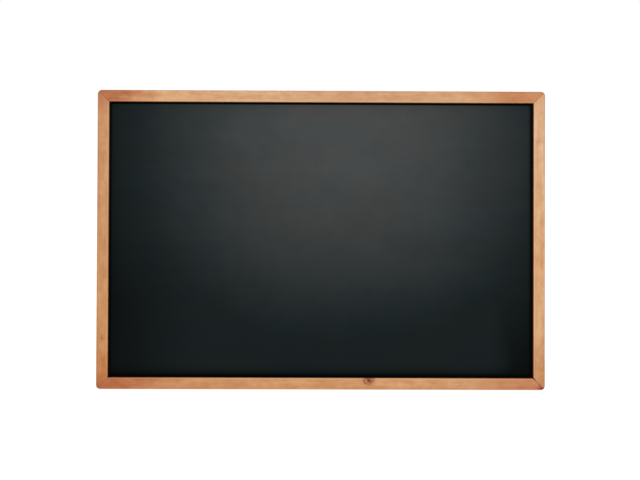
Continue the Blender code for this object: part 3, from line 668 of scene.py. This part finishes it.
def corner_nails():
    """The mesh of all eight nails, each with its crease on a mitre and its flanks in two rails."""
    points, headings = [], []
    for right, top, heading in ((1, 1, 135), (-1, 1, 45), (-1, 0, -45), (1, 0, -135)):
        for place in V_NAIL_PLACES:
            inset = place * math.sqrt(0.5)
            z = BOARD_HEIGHT - inset if top else inset
            points.append((right * (HALF_WIDTH - inset), V_NAIL_PROUD, z))
            headings.append(math.radians(heading))
    values = {"Sheet": V_NAIL_SHEET, "Flank": V_NAIL_FLANK, "Depth": V_NAIL_DEPTH, "Finish": ZINC}
    values["Half Angle"] = V_NAIL_HALF_ANGLE
    return grown_mesh("corner_nails", v_nail_tree(), points, values, {"heading": headings})


def plated_steel(name, bright, dull, roughness, scuffs):
    """Plated steel: the plating's colour drifts a little, and handling leaves fine scuffs."""
    finish, shader = new_finish(name, {"Metallic": 1.0})
    place = object_coordinates(finish)
    drift = cloud(place, 0.006, 3.0, 2)
    bloom = cloud(place, 0.0014, 9.0, 4, 0.6)
    lines = cloud(place, (0.00018, 0.00018, 0.0045), 5.0, 2)
    colour = tinted(rise(drift + (bloom - 0.5) * 0.5, 0.3, 0.7), bright, dull)
    scuffed = rise(lines, 0.58, 0.72)
    roughness = roughness + (bloom - 0.5) * 0.20 + scuffed * scuffs
    paint_on(shader, colour, roughness, bump(bloom * 0.6 + scuffed * 0.4, 0.00003))
    return finish


ZINC = plated_steel("zinc_plate", shade(211, 214, 219), shade(198, 200, 201), 0.34, 0.14)
V_NAILS = [f"v_nail_{corner}_{number}" for corner in MITRES for number in (1, 2)]
piece("corner_nails", corner_nails(), BOARD, ZINC, "board", "zinc_steel", *V_NAILS)


# Backing board
# A sheet of brown hardboard behind the panel, with the mesh side of the pressing to the back.
# The CAD solid is its true shape, so only its finish is made here.

HARDBOARD = shade(139, 100, 66)
HARDBOARD_DARK = shade(104, 70, 44)
MESH_PITCH = 0.0011


def hardboard():
    finish, shader = new_finish("hardboard", {"Specular IOR Level": 0.3})
    place = board_coordinates(finish)
    x, _, z = axes(place)
    fibre = cloud(place, (0.0035, 0.0035, 0.0009), 2.0, 4, 0.65)
    chips = cloud(place, 0.0012, 7.0, 3)
    stains = cloud(place, (0.10, 0.10, 0.07), 4.0, 3)
    weave = (x * (math.tau / MESH_PITCH)).sine() * (z * (math.tau / MESH_PITCH)).sine()
    tone = fibre * 0.55 + chips * 0.25 + stains * 0.5 + weave * 0.05
    colour = tinted(rise(tone, 0.42, 0.86), HARDBOARD_DARK, HARDBOARD)
    relief = bump(weave * 0.25 + fibre * 0.6, 0.00015)
    paint_on(shader, colour, 0.62 + fibre * 0.25, relief)
    return finish


BROWN_BOARD = hardboard()
for slot in frame["nodes"]["backing_board"].material_slots:
    slot.material = BROWN_BOARD


# Turn buttons
# Six tongues pressed from zinc-plated sheet. Each turns on its screw in a rail, and its tip holds the
# backing board in.

BUTTON_SHEET = 0.001
BUTTON_PIVOT_INSET = 0.0055
BUTTON_END_RADIUS = 0.0042
BUTTON_TIP_RADIUS = 0.0032
BUTTON_REACH = 0.0155
BUTTON_EASING = 0.00022
BUTTON_SPACING = 0.300
REST_GAP = 0.0003
SCREW_HOLE_RADIUS = 0.0018
# Name: the pivot, across and up the board, and the tongue's direction in degrees about the pivot
BUTTONS = {
    "top_left": (-BUTTON_SPACING / 2, BOARD_HEIGHT - BUTTON_PIVOT_INSET, 180),
    "top_right": (BUTTON_SPACING / 2, BOARD_HEIGHT - BUTTON_PIVOT_INSET, 180),
    "bottom_left": (-BUTTON_SPACING / 2, BUTTON_PIVOT_INSET, 0),
    "bottom_right": (BUTTON_SPACING / 2, BUTTON_PIVOT_INSET, 0),
    "left": (BUTTON_PIVOT_INSET - HALF_WIDTH, HALF_HEIGHT, 90),
    "right": (HALF_WIDTH - BUTTON_PIVOT_INSET, HALF_HEIGHT, -90),
}


def merged(mesh, reach=1e-7):
    """The mesh with points that are this close made one, and with its faces turned outwards."""
    bm = bmesh.new()
    bm.from_mesh(mesh)
    bmesh.ops.remove_doubles(bm, verts=bm.verts, dist=reach)
    bmesh.ops.recalc_face_normals(bm, faces=bm.faces)
    bm.to_mesh(mesh)
    bm.free()
    return mesh


def plate_mesh(name, outlines, thickness, easing):
    """A flat plate with rounded rims from y = 0 back. The first outline is its edge, the rest are holes."""
    curve = bpy.data.curves.new(name, "CURVE")
    curve.dimensions = "2D"
    curve.fill_mode = "BOTH"
    curve.extrude = thickness / 2 - easing
    curve.bevel_depth = easing
    curve.bevel_resolution = 2
    curve.offset = -easing
    for outline in outlines:
        spline = curve.splines.new("POLY")
        spline.points.add(len(outline) - 1)
        for point, (x, z) in zip(spline.points, outline):
            point.co = (x, z, 0, 1)
        spline.use_cyclic_u = True
    flat = new_object(name, curve)
    graph = bpy.context.evaluated_depsgraph_get()
    mesh = merged(bpy.data.meshes.new_from_object(flat.evaluated_get(graph)))
    bpy.data.objects.remove(flat)
    mesh.transform(Matrix.Translation((0, thickness / 2, 0)) @ Matrix.Rotation(math.pi / 2, 4, "X"))
    return mesh


def button_mesh():
    tip = BUTTON_REACH - BUTTON_TIP_RADIUS
    slope = math.degrees(math.asin((BUTTON_END_RADIUS - BUTTON_TIP_RADIUS) / tip))
    outline = arc((0, 0), BUTTON_END_RADIUS, 180 - slope, 360 + slope, 28)
    outline += arc((0, tip), BUTTON_TIP_RADIUS, slope, 180 - slope, 20)
    hole = arc((0, 0), SCREW_HOLE_RADIUS, 0, 345, 23)
    return plate_mesh("turn_button", (outline, hole), BUTTON_SHEET, BUTTON_EASING)


for name, (x, z, heading) in BUTTONS.items():
    mesh = button_mesh()
    place = BOARD @ Matrix.Translation((x, REST_GAP, z)) @ Matrix.Rotation(math.radians(heading), 4, "Y")
    piece(f"button_plate_{name}", mesh, place, ZINC, f"button_{name}", "zinc_steel", f"turn_button_{name}")


# Hangers
# A nickel-plated strip on each side rail, folded over the straight bar of a wire D-ring, with both of
# its ends under one screw. The ring hangs straight down from the fold.

HANGER_INSET = 0.0068
HANGER_HEIGHT = 0.306
STRAP_HALF_WIDTH = 0.0032
STRAP_SHEET = 0.00075
STRAP_DEPTH = 0.0016
STRAP_LENGTH = 0.0185
STRAP_CORNER_RADIUS = 0.0016
STRAP_EASING = 0.00016
LOOP_RADIUS = 0.0022
FOLD_RUN = 0.0035
RING_WIRE_RADIUS = 0.0009
RING_HALF_WIDTH = 0.0048
RING_DROP = 0.0096
RING_BEND_RADIUS = 0.0014
HANGERS = {"left": HANGER_INSET - HALF_WIDTH, "right": HALF_WIDTH - HANGER_INSET}


def strip_mesh(name, stations, sheet, easing, place):
    """A strip of sheet metal bent in a plane.

    Each station is its middle line's point in the plane, and the strip's two edges across the plane.
    place takes a point in the plane and a distance across it to a place in space.
    """
    half = sheet / 2
    rows = []
    for number, ((a, b), low, high) in enumerate(stations):
        before, after = stations[max(0, number - 1)][0], stations[min(len(stations) - 1, number + 1)][0]
        along = Vector((after[0] - before[0], after[1] - before[1])).normalized()
        soft = min(easing, (high - low) / 2.5)
        corner = soft * 0.3
        section = [(-half, low + soft)]
        section += [(-half, high - soft), (corner - half, high - corner), (soft - half, high)]
        section += [(half - soft, high), (half - corner, high - corner), (half, high - soft)]
        section += [(half, low + soft), (half - corner, low + corner), (half - soft, low)]
        section += [(soft - half, low), (corner - half, low + corner)]
        rows.append([place(a - along.y * n, b + along.x * n, w) for n, w in section])
    return closed_mesh(name, rows)


def rounding(distance, radius):
    """How far a rounded corner of this radius cuts in, at a distance from the end."""
    short = max(0, radius - distance)
    return radius - math.sqrt(max(0, radius**2 - short**2))


def strap_mesh():
    """The folded strip: up the rail, round the ring's bar, and down again over itself."""
    inner = STRAP_SHEET / 2 - LOOP_RADIUS
    outer = STRAP_DEPTH - STRAP_SHEET / 2 - LOOP_RADIUS
    turn = LOOP_RADIUS - STRAP_SHEET / 2
    path = [(inner, -STRAP_LENGTH + STRAP_LENGTH * (k / 16) ** 1.8) for k in range(16)]
    path += arc((0, 0), turn, 180, -28, 20)
    last = Vector(path[-1])
    for k in range(1, 9):
        share = k / 8
        y = last.x + (outer - last.x) * (3 * share**2 - 2 * share**3)
        path.append((y, last.y - FOLD_RUN * share))
    foot = path[-1][1]
    path += [(outer, foot - (STRAP_LENGTH + foot) * (1 - (1 - k / 16) ** 1.8)) for k in range(1, 17)]
    stations = []
    for y, z in path:
        half = STRAP_HALF_WIDTH - rounding(STRAP_LENGTH + z, STRAP_CORNER_RADIUS)
        stations.append(((y, z), -half, half))
    return strip_mesh("hanger_strap", stations, STRAP_SHEET, STRAP_EASING, lambda y, z, w: Vector((w, y, z)))


def ring_mesh():
    """The D-ring: a closed loop of round wire whose straight bar lies in the fold."""
    bend, bow = RING_BEND_RADIUS, RING_HALF_WIDTH
    path = arc((bend - bow, -bend), bend, 180, 90, 6)
    path += [(0, 0)]
    path += arc((bow - bend, -bend), bend, 90, 0, 6)
    path += arc((0, bow - RING_DROP), bow, 0, -180, 28)
    rows = []
    for number, (a, b) in enumerate(path):
        before, after = path[number - 1], path[(number + 1) % len(path)]
        along = Vector((after[0] - before[0], after[1] - before[1])).normalized()
        ring = []
        for n, deep in arc((0, 0), RING_WIRE_RADIUS, 0, 337.5, 15):
            ring.append(Vector((a - along.y * n, deep, b + along.x * n)))
        rows.append(ring)
    return merged(closed_mesh("hanger_ring", rows + rows[:1], closed_ends=False))


NICKEL = plated_steel("nickel_plate", shade(226, 222, 212), shade(206, 199, 184), 0.20, 0.10)
for side, x in HANGERS.items():
    place = BOARD @ Matrix.Translation((x, REST_GAP + LOOP_RADIUS, HANGER_HEIGHT))
    piece(f"hanger_fold_{side}", strap_mesh(), place, NICKEL, "board", "nickel_steel", f"hanger_strap_{side}")
    place = place @ Matrix.Rotation(LEAN, 4, "X")
    piece(f"hanger_ring_{side}", ring_mesh(), place, NICKEL, f"ring_{side}", "nickel_steel", f"d_ring_{side}")


# Wood screws
# Twelve zinc-plated pan-head screws with a cross recess: one in each turn button, one in each hanger
# and four in the hinge's base plate.

PAN_HEAD_RADIUS = 0.003
PAN_HEAD_HEIGHT = 0.0018
SHANK_RADIUS = 0.0015
BUTTON_SCREW_LENGTH = 0.010
STRAP_SCREW_DROP = 0.014
BASE_SCREW_LENGTH = 0.0046
BASE_SCREW_X = 0.014
BASE_SCREW_RISES = (0.012, 0.024)
HINGE_HEIGHT = 0.285
HINGE_SHEET = 0.0012


def domes_tree(name, recessed):
    """Domed heads that stand on points, with shanks below them and, if asked, a cross recess."""
    labels = ["Radius", "Height", "Fullness", "Rim", "Shank Radius", "Facing", "Spin", "Seed"]
    labels += ["Recess Span", "Recess Width", "Recess Depth"] if recessed else []
    tree, (points, finish, *feeds) = shape_tree(name, labels)
    radius, height, fullness, rim, shank_radius, facing, spin, seed, *recess = feeds
    ball = points.node("GeometryNodeMeshUVSphere", {}, {"Segments": 32, "Rings": 20, "Radius": 1.0})
    x, y, z = axes(ball.node("GeometryNodeInputPosition", {}, {}))
    crown = z.maximum(0.0) ** fullness * height
    below = z.math("LESS_THAN", -0.01) * rim
    moved = z.vector(x * radius, y * radius, crown + rim - below)
    head = ball.node("GeometryNodeSetPosition", {}, {"Geometry": ball, "Position": moved})
    if recessed:
        span, width, depth = recess
        top = head.vector(0.0, 0.0, rim + height)
        wings = []
        for across, along in ((span, width), (width, span)):
            cut = head.vector(across, along, depth * 2.0)
            wing = head.node("GeometryNodeMeshCube", {}, {"Size": cut})
            wings.append(wing.node("GeometryNodeTransform", {}, {"Geometry": wing, "Translation": top}))
        settings = {"operation": "DIFFERENCE", "solver": "EXACT"}
        head = head.node("GeometryNodeMeshBoolean", settings, {"Mesh 1": head, "Mesh 2": wings})
    shank = head.node("GeometryNodeMeshCylinder", {}, {"Vertices": 20, "Radius": 1.0, "Depth": 1.0})
    shank = shank.node("GeometryNodeTransform", {}, {"Geometry": shank, "Translation": (0, 0, -0.49)})
    length = shank.node("GeometryNodeInputNamedAttribute", {"data_type": "FLOAT"}, {"Name": "shank"})
    spin = head.node("FunctionNodeRandomValue", {}, {2: 0.0, 3: spin, 8: seed}, out=1)
    aim = head.node("FunctionNodeEulerToRotation", {}, {0: head.vector(facing, 0.0, 0.0)})
    roll = head.node("FunctionNodeEulerToRotation", {}, {0: head.vector(0.0, 0.0, spin)})
    turn = head.node("FunctionNodeRotateRotation", {"rotation_space": "LOCAL"}, {0: aim, 1: roll})
    heads = {"Points": points, "Instance": head, "Rotation": turn}
    scale = head.vector(shank_radius, shank_radius, length)
    shanks = heads | {"Instance": shank, "Scale": scale, "Selection": length.math("GREATER_THAN", 0.0001)}
    both = [head.node("GeometryNodeInstanceOnPoints", {}, placed) for placed in (heads, shanks)]
    finish_tree(tree, head.node("GeometryNodeJoinGeometry", {}, {"Geometry": both}), finish)
    return tree


def screw_places():
    """Each screw's place on the back, under its head, and its length."""
    head_y = REST_GAP + BUTTON_SHEET + REST_GAP
    found = [((x, head_y, z), BUTTON_SCREW_LENGTH - BUTTON_SHEET) for x, z, _ in BUTTONS.values()]
    head_y = REST_GAP + STRAP_DEPTH + REST_GAP / 2
    z = HANGER_HEIGHT - STRAP_SCREW_DROP
    found += [((x, head_y, z), BUTTON_SCREW_LENGTH - STRAP_DEPTH) for x in HANGERS.values()]
    for rise_up in BASE_SCREW_RISES:
        for side in (-1, 1):
            place = (side * BASE_SCREW_X, HINGE_SHEET + REST_GAP / 2, HINGE_HEIGHT + rise_up)
            found.append((place, BASE_SCREW_LENGTH))
    return found


FACING_BACK = -math.pi / 2
FACING_FRONT = math.pi / 2
screws = screw_places()
screw_values = {
    "Radius": PAN_HEAD_RADIUS,
    "Height": PAN_HEAD_HEIGHT - 0.0003,
    "Fullness": 0.55,
    "Rim": 0.0003,
    "Shank Radius": SHANK_RADIUS,
    "Facing": FACING_BACK,
    "Spin": math.pi,
    "Seed": 4.0,
    "Recess Span": 0.0031,
    "Recess Width": 0.0007,
    "Recess Depth": 0.0011,
    "Finish": ZINC,
}
tree = domes_tree("pan_head_screws", recessed=True)
lengths = {"shank": [length for _, length in screws]}
mesh = grown_mesh("wood_screws", tree, [place for place, _ in screws], screw_values, lengths)
SCREWS = [f"turn_button_screw_{name}" for name in BUTTONS]
SCREWS += [f"hanger_screw_{side}" for side in HANGERS]
SCREWS += [f"hinge_screw_{number}" for number in (1, 2, 3, 4)]
piece("wood_screws", mesh, BOARD, ZINC, "board", "zinc_steel", *SCREWS)


# Wall bumpers
# Four soft black rubber domes stuck to the back near the corners, to hold the frame off a wall.

BUMPER_RADIUS = 0.004
BUMPER_HEIGHT = 0.0025
BUMPER_INSET = 0.0062
BUMPER_FROM_SIDE = 0.030


def black_rubber():
    finish, shader = new_finish("black_rubber", {"Specular IOR Level": 0.4})
    place = object_coordinates(finish)
    dust = cloud(place, 0.004, 6.0, 4, 0.65)
    pores = cloud(place, 0.0003, 2.0, 2)
    colour = tinted(rise(dust, 0.45, 0.8), shade(24, 24, 25), shade(52, 51, 49))
    paint_on(shader, colour, 0.6 + dust * 0.3, bump(pores, 0.00004))
    return finish


def bumper_mesh():
    points = []
    for z in (BUMPER_INSET, BOARD_HEIGHT - BUMPER_INSET):
        for side in (-1, 1):
            points.append((side * (HALF_WIDTH - BUMPER_FROM_SIDE), 0.00002, z))
    rim = BUMPER_HEIGHT * 0.3
    values = {"Radius": BUMPER_RADIUS, "Height": BUMPER_HEIGHT - rim, "Fullness": 0.75, "Rim": rim}
    values |= {"Shank Radius": SHANK_RADIUS, "Facing": FACING_BACK, "Spin": 0.0, "Finish": RUBBER}
    lengths = {"shank": [0.0] * len(points)}
    return grown_mesh("bumper_domes", domes_tree("plain_domes", recessed=False), points, values, lengths)


RUBBER = black_rubber()
BUMPERS = [f"wall_bumper_{corner}" for corner in MITRES]
piece("bumper_domes", bumper_mesh(), BOARD, RUBBER, "board", "black_rubber", *BUMPERS)


# Easel hinge
# Two zinc-plated pressings with ears on one riveted pin. The base is screwed to the backing board, and
# the strut's plate has a tail above the pin that stops on the base when the strut is open.

HINGE_AXIS_Y = 0.006
STRUT_OPENING = math.radians(28)
HINGE = BOARD @ Matrix.Translation((0, HINGE_AXIS_Y, HINGE_HEIGHT))
STRUT = HINGE @ Matrix.Rotation(STRUT_OPENING, 4, "X")
PIN_RADIUS = 0.0015
PIN_HEAD_RADIUS = 0.0027
PIN_HEAD_HEIGHT = 0.0009
PIN_SIDES = 32
EAR_RADIUS = 0.004
BASE_HALF_WIDTH = 0.023
BASE_BELOW_AXIS = 0.008
BASE_ABOVE_AXIS = 0.030
BASE_CORNER_RADIUS = 0.005
BASE_EAR_HALF_LENGTH = 0.006
EAR_PLAY = 0.0004
WEB_INNER_Y = -0.002
WEB_BELOW_AXIS = 0.036
WEB_CORNER_RADIUS = 0.006
HINGE_EASING = 0.00022
HINGE_BEND_RADIUS = 0.0013
BEND_SIDE_RADIUS = 0.001


def pressing_mesh(name, half_width, floor_y, axis_y, ear_root, low, high, low_radius, high_radius):
    """A plate between z = low and z = high, with an ear bent up at each side and rounded about the pin.

    The plate's front face is at floor_y, and the pin is at axis_y and z = 0.
    """
    middle_y = floor_y + HINGE_SHEET / 2
    ear_x = half_width - HINGE_SHEET / 2
    flat = ear_x - HINGE_BEND_RADIUS

    def ear_half(y):
        if y > axis_y:
            return math.sqrt(max(1e-8, EAR_RADIUS**2 - (y - axis_y) ** 2))
        return EAR_RADIUS + (ear_root - EAR_RADIUS) * (axis_y - y) / (axis_y - floor_y)

    half = []
    for k in range(17):
        x = flat * math.sin(math.pi / 2 * k / 16)
        cut = rounding(flat - x, low_radius), rounding(flat - x, high_radius)
        half.append(((x, middle_y), low + cut[0], high - cut[1]))
    bend = arc((flat, middle_y + HINGE_BEND_RADIUS), HINGE_BEND_RADIUS, -90, 0, 8)
    half += [(point, -ear_half(point[1]), ear_half(point[1])) for point in bend]
    start = bend[-1][1]
    for k in range(1, 21):
        y = start + (axis_y + EAR_RADIUS - start) * math.sin(math.pi / 2 * k / 20)
        half.append(((ear_x, y), -ear_half(y), ear_half(y)))
    half = [half[0]] + [station for station in half[1:] if station[2] - station[1] > 0.0005]
    stations = [((-a, b), w_low, w_high) for (a, b), w_low, w_high in reversed(half[1:])] + half
    return strip_mesh(name, stations, HINGE_SHEET, HINGE_EASING, lambda a, b, w: Vector((a, b, w)))


def base_pressing():
    shape = (BASE_HALF_WIDTH, 0, HINGE_AXIS_Y, BASE_EAR_HALF_LENGTH, -BASE_BELOW_AXIS, BASE_ABOVE_AXIS)
    return pressing_mesh("hinge_base", *shape, BEND_SIDE_RADIUS, BASE_CORNER_RADIUS)


def strut_pressing():
    room = HINGE_AXIS_Y - HINGE_SHEET - REST_GAP + WEB_INNER_Y * math.cos(STRUT_OPENING)
    tail = room / math.sin(STRUT_OPENING)
    half_width = BASE_HALF_WIDTH - HINGE_SHEET - EAR_PLAY
    shape = (half_width, WEB_INNER_Y, 0, EAR_RADIUS, -WEB_BELOW_AXIS, tail)
    return pressing_mesh("hinge_web", *shape, WEB_CORNER_RADIUS, BEND_SIDE_RADIUS)


def pin_mesh():
    """The hinge pin, turned about the z axis, with a head riveted over outside each ear."""
    half = BASE_HALF_WIDTH + REST_GAP / 2
    head = [(x, y) for y, x in arc((0, 0), 1, 0, 90, 8)]
    profile = [(PIN_HEAD_RADIUS * r, half + PIN_HEAD_HEIGHT * h) for r, h in head] + [(PIN_RADIUS, half)]
    profile += [(r, -h) for r, h in reversed(profile)]
    rows = []
    for radius, height in profile:
        circle = arc((0, 0), max(radius, 1e-6), 0, 360 - 360 / PIN_SIDES, PIN_SIDES - 1)
        rows.append([Vector((x, y, height)) for x, y in circle])
    return merged(closed_mesh("hinge_pin", rows), 3e-6)


base_place = BOARD @ Matrix.Translation((0, 0, HINGE_HEIGHT))
pin_place = HINGE @ Matrix.Rotation(math.pi / 2, 4, "Y")
piece("hinge_base_pressing", base_pressing(), base_place, ZINC, "board", "zinc_steel", "hinge_base_plate")
piece("hinge_rivet_pin", pin_mesh(), pin_place, ZINC, "board", "zinc_steel", "hinge_pin")
piece("hinge_strut_pressing", strut_pressing(), STRUT, ZINC, "strut", "zinc_steel", "hinge_strut_plate")


# Strut
# A tapered board of clear pine, rounded at its corners and oiled. Its foot is cut level, so that it
# stands flat when the strut is open.

STRUT_THICKNESS = 0.008
STRUT_HEAD_HALF_WIDTH = 0.018
STRUT_FOOT_HALF_WIDTH = 0.033
STRUT_HEAD_DROP = 0.004
STRUT_CORNER_RADIUS = 0.005
STRUT_EDGE_RADIUS = 0.0009
STRUT_INNER_Y = WEB_INNER_Y + HINGE_SHEET + REST_GAP
STRUT_OUTER_Y = STRUT_INNER_Y + STRUT_THICKNESS
STRUT_MIDDLE_Y = (STRUT_INNER_Y + STRUT_OUTER_Y) / 2
STRUT_TILT = STRUT_OPENING - LEAN
FOOT_PAD_THICKNESS = 0.002


def strut_end(y, height):
    """The strut's own z at depth y, where it is at this height above the counter."""
    return (height - STRUT.translation.z - y * math.sin(STRUT_TILT)) / math.cos(STRUT_TILT)


def rounded_outline(corners, radius, steps=8):
    """The outline through these corners, in order anticlockwise, with each one rounded."""
    points = []
    for number, corner in enumerate(corners):
        corner = Vector(corner)
        back = (Vector(corners[number - 1]) - corner).normalized()
        on = (Vector(corners[(number + 1) % len(corners)]) - corner).normalized()
        half = back.angle(on) / 2
        start, end = (corner + way * radius / math.tan(half) for way in (back, on))
        centre = corner + (back + on).normalized() * radius / math.sin(half)
        for k in range(steps + 1):
            point = start.lerp(end, k / steps) - centre
            points.append(tuple(centre + point.normalized() * radius))
    return points


def strut_mesh():
    foot = strut_end(STRUT_MIDDLE_Y, FOOT_PAD_THICKNESS + REST_GAP)
    head, wide = STRUT_HEAD_HALF_WIDTH, STRUT_FOOT_HALF_WIDTH
    corners = [(-wide, foot), (wide, foot), (head, -STRUT_HEAD_DROP), (-head, -STRUT_HEAD_DROP)]
    outline = rounded_outline(corners, STRUT_CORNER_RADIUS)
    mesh = plate_mesh("strut", (outline,), STRUT_THICKNESS, STRUT_EDGE_RADIUS)
    stored = mesh.attributes.new("grain", "FLOAT_VECTOR", "POINT")
    for vertex, item in zip(mesh.vertices, stored.data):
        y = vertex.co.y - STRUT_THICKNESS / 2
        item.vector = (vertex.co.z, vertex.co.x + STRUT_FOOT_HALF_WIDTH, y)
        share = (vertex.co.z + STRUT_HEAD_DROP) / (foot + STRUT_HEAD_DROP)
        vertex.co.z -= y * math.tan(STRUT_TILT) * share
        vertex.co.y = STRUT_MIDDLE_Y + y
    return mesh


def clear_pine():
    finish, shader = new_finish("clear_pine", {"Specular IOR Level": 0.35})
    grain = attribute(finish, "grain")
    figure, fibres, latewood = pine_figure(grain, 21.0)
    colour = tinted(figure.clipped(), RAW_PINE_DARK, RAW_PINE)
    relief = bump(fibres * 0.6 + latewood * 0.5, 0.00006)
    paint_on(shader, colour, 0.48 + (fibres - 0.5) * 0.2, relief)
    return finish


piece("strut_board", strut_mesh(), STRUT, clear_pine(), "strut", "strut_wood", "strut")


# Strut rivets
# Two nickel-plated rivets hold the strut to its hinge plate, with their heads at the back.

RIVET_DROPS = (0.014, 0.028)
RIVET_HEAD_RADIUS = 0.0032
RIVET_HEAD_HEIGHT = 0.0012
RIVET_TAIL_RADIUS = 0.0026
RIVET_TAIL_HEIGHT = 0.0008


def rivet_mesh():
    """Both rivets: domed heads with their shanks, and the set tails on the hinge plate."""
    tree = bpy.data.node_groups["plain_domes"]
    length = STRUT_OUTER_Y - WEB_INNER_Y
    fixed = {"Rim": 0.0001, "Fullness": 0.8, "Shank Radius": SHANK_RADIUS, "Spin": 0.0, "Finish": NICKEL}
    head = fixed | {"Radius": RIVET_HEAD_RADIUS, "Height": RIVET_HEAD_HEIGHT, "Facing": FACING_BACK}
    tail = fixed | {"Radius": RIVET_TAIL_RADIUS, "Height": RIVET_TAIL_HEIGHT, "Facing": FACING_FRONT}
    bm = bmesh.new()
    for values, y, shank in ((head, STRUT_OUTER_Y, length), (tail, WEB_INNER_Y, 0.0)):
        points = [(0, y, -drop) for drop in RIVET_DROPS]
        bm.from_mesh(grown_mesh("strut_rivets", tree, points, values, {"shank": [shank] * len(points)}))
    return mesh_from(bm, "strut_rivets")


RIVETS = ("strut_rivet_upper", "strut_rivet_lower")
piece("strut_rivets", rivet_mesh(), STRUT, NICKEL, "strut", "nickel_steel", *RIVETS)


# Foot pad
# A strip of ribbed black rubber glued under the strut's foot, so that the board doesn't creep back.

FOOT_PAD_HALF_DEPTH = 0.00325
FOOT_PAD_RIBS = 6
FOOT_PAD_RIB_DEPTH = 0.0003
FOOT_PAD_EASING = 0.00035


def foot_pad_mesh():
    half_width = STRUT_FOOT_HALF_WIDTH - STRUT_CORNER_RADIUS
    deep, easing = FOOT_PAD_HALF_DEPTH, FOOT_PAD_EASING
    section = []
    for k in range(FOOT_PAD_RIBS * 4 + 1):
        y = -deep + easing + (2 * deep - 2 * easing) * k / (FOOT_PAD_RIBS * 4)
        section.append((y, FOOT_PAD_RIB_DEPTH * (0.5 - 0.5 * math.cos(math.tau * k / 4))))
    section += arc((deep - easing, easing), easing, -60, 0, 3)
    section += arc((deep - easing, FOOT_PAD_THICKNESS - easing), easing, 0, 90, 4)
    section += arc((easing - deep, FOOT_PAD_THICKNESS - easing), easing, 90, 180, 4)
    section += arc((easing - deep, easing), easing, 180, 240, 3)
    rounded_end = ((0, 0.35), (0.0001, 0.1), (easing, 0))
    rows = []
    for side, steps in ((-1, rounded_end), (1, reversed(rounded_end))):
        for inset, shrink in steps:
            size = 1 - shrink * easing / deep
            rows.append([Vector((side * (half_width - inset), y * size, z)) for y, z in section])
    return closed_mesh("foot_strip", rows)


foot_place = STRUT @ Matrix.Translation((0, STRUT_MIDDLE_Y, strut_end(STRUT_MIDDLE_Y, 0)))
foot_place = foot_place @ Matrix.Rotation(-STRUT_TILT, 4, "X")
piece("foot_strip", foot_pad_mesh(), foot_place, RUBBER, "strut", "black_rubber", "strut_foot_pad")


# Studio
# A pale floor under a soft white dome, a key softbox above and to the right of the camera, a low fill on
# the left, and one softbox behind for the board's back.

CAMERA_LENS = 50.0
CAMERA_DISTANCE = 1.1889
CAMERA_AZIMUTH = math.radians(-0.365)
CAMERA_ELEVATION = math.radians(14.36)
CAMERA_ROLL = math.radians(0.30)
FLOOR_HALF_SIZE = 30.0
# Name: azimuth and elevation in degrees, distance, width, height, power in watts
SOFTBOXES = {
    "key": (12, 38, 2.6, 1.6, 1.0, 24.5),
    "overhead": (20, 80, 2.4, 2.2, 2.2, 17.0),
    "fill": (-62, 24, 2.4, 1.2, 1.2, 5.2),
    "behind": (205, 38, 2.4, 1.4, 1.4, 14.0),
}


def make_camera():
    camera = bpy.data.cameras.new("camera")
    camera.lens = CAMERA_LENS
    camera.clip_start = 0.05
    placed = new_object("camera", camera)
    aim = BOARD @ Vector((-0.0017, -RAIL_DEPTH, HALF_HEIGHT - 0.0002))
    turn = Matrix.Rotation(CAMERA_AZIMUTH, 4, "Z") @ Matrix.Rotation(math.pi / 2 - CAMERA_ELEVATION, 4, "X")
    step_back = Matrix.Rotation(CAMERA_ROLL, 4, "Z") @ Matrix.Translation((0, 0, CAMERA_DISTANCE))
    placed.matrix_world = Matrix.Translation(aim) @ turn @ step_back
    bpy.context.scene.camera = placed


def make_softbox(name, azimuth, elevation, distance, width, height, power):
    light = bpy.data.lights.new(name, "AREA")
    light.shape = "RECTANGLE"
    light.size, light.size_y, light.energy = width, height, power
    placed = new_object(name, light)
    turn = Matrix.Rotation(math.radians(azimuth), 4, "Z")
    turn = turn @ Matrix.Rotation(math.radians(90 - elevation), 4, "X")
    aim = BOARD @ Vector((0, 0, HALF_HEIGHT))
    placed.matrix_world = Matrix.Translation(aim) @ turn @ Matrix.Translation((0, 0, distance))


def make_dome(seen, given):
    """A white surround that the camera sees bright and that lights the object more softly."""
    world = bpy.data.worlds.new("studio")
    bpy.context.scene.world = world
    world.use_nodes = True
    tree = world.node_tree
    background = tree.nodes["Background"]
    background.inputs["Color"].default_value = (1, 1, 1, 1)
    path = Feed(tree, tree.nodes.new("ShaderNodeLightPath").outputs["Is Camera Ray"])
    tree.links.new((path * (seen - given) + given).socket, background.inputs["Strength"])


def make_floor():
    bm = bmesh.new()
    bmesh.ops.create_grid(bm, x_segments=1, y_segments=1, size=FLOOR_HALF_SIZE)
    mesh = mesh_from(bm, "floor")
    lit = {"Base Color": (0.3, 0.3, 0.3, 1), "Emission Color": (1, 1, 1, 1), "Emission Strength": 0.92}
    finish, _ = new_finish("pale_floor", lit | {"Roughness": 0.9, "Specular IOR Level": 0.1})
    mesh.materials.append(finish)
    new_object("floor", mesh)


make_camera()
for name, facts in SOFTBOXES.items():
    make_softbox(f"{name}_softbox", *facts)
make_dome(1.0, 0.28)
make_floor()
bpy.context.scene.view_settings.view_transform = "Standard"
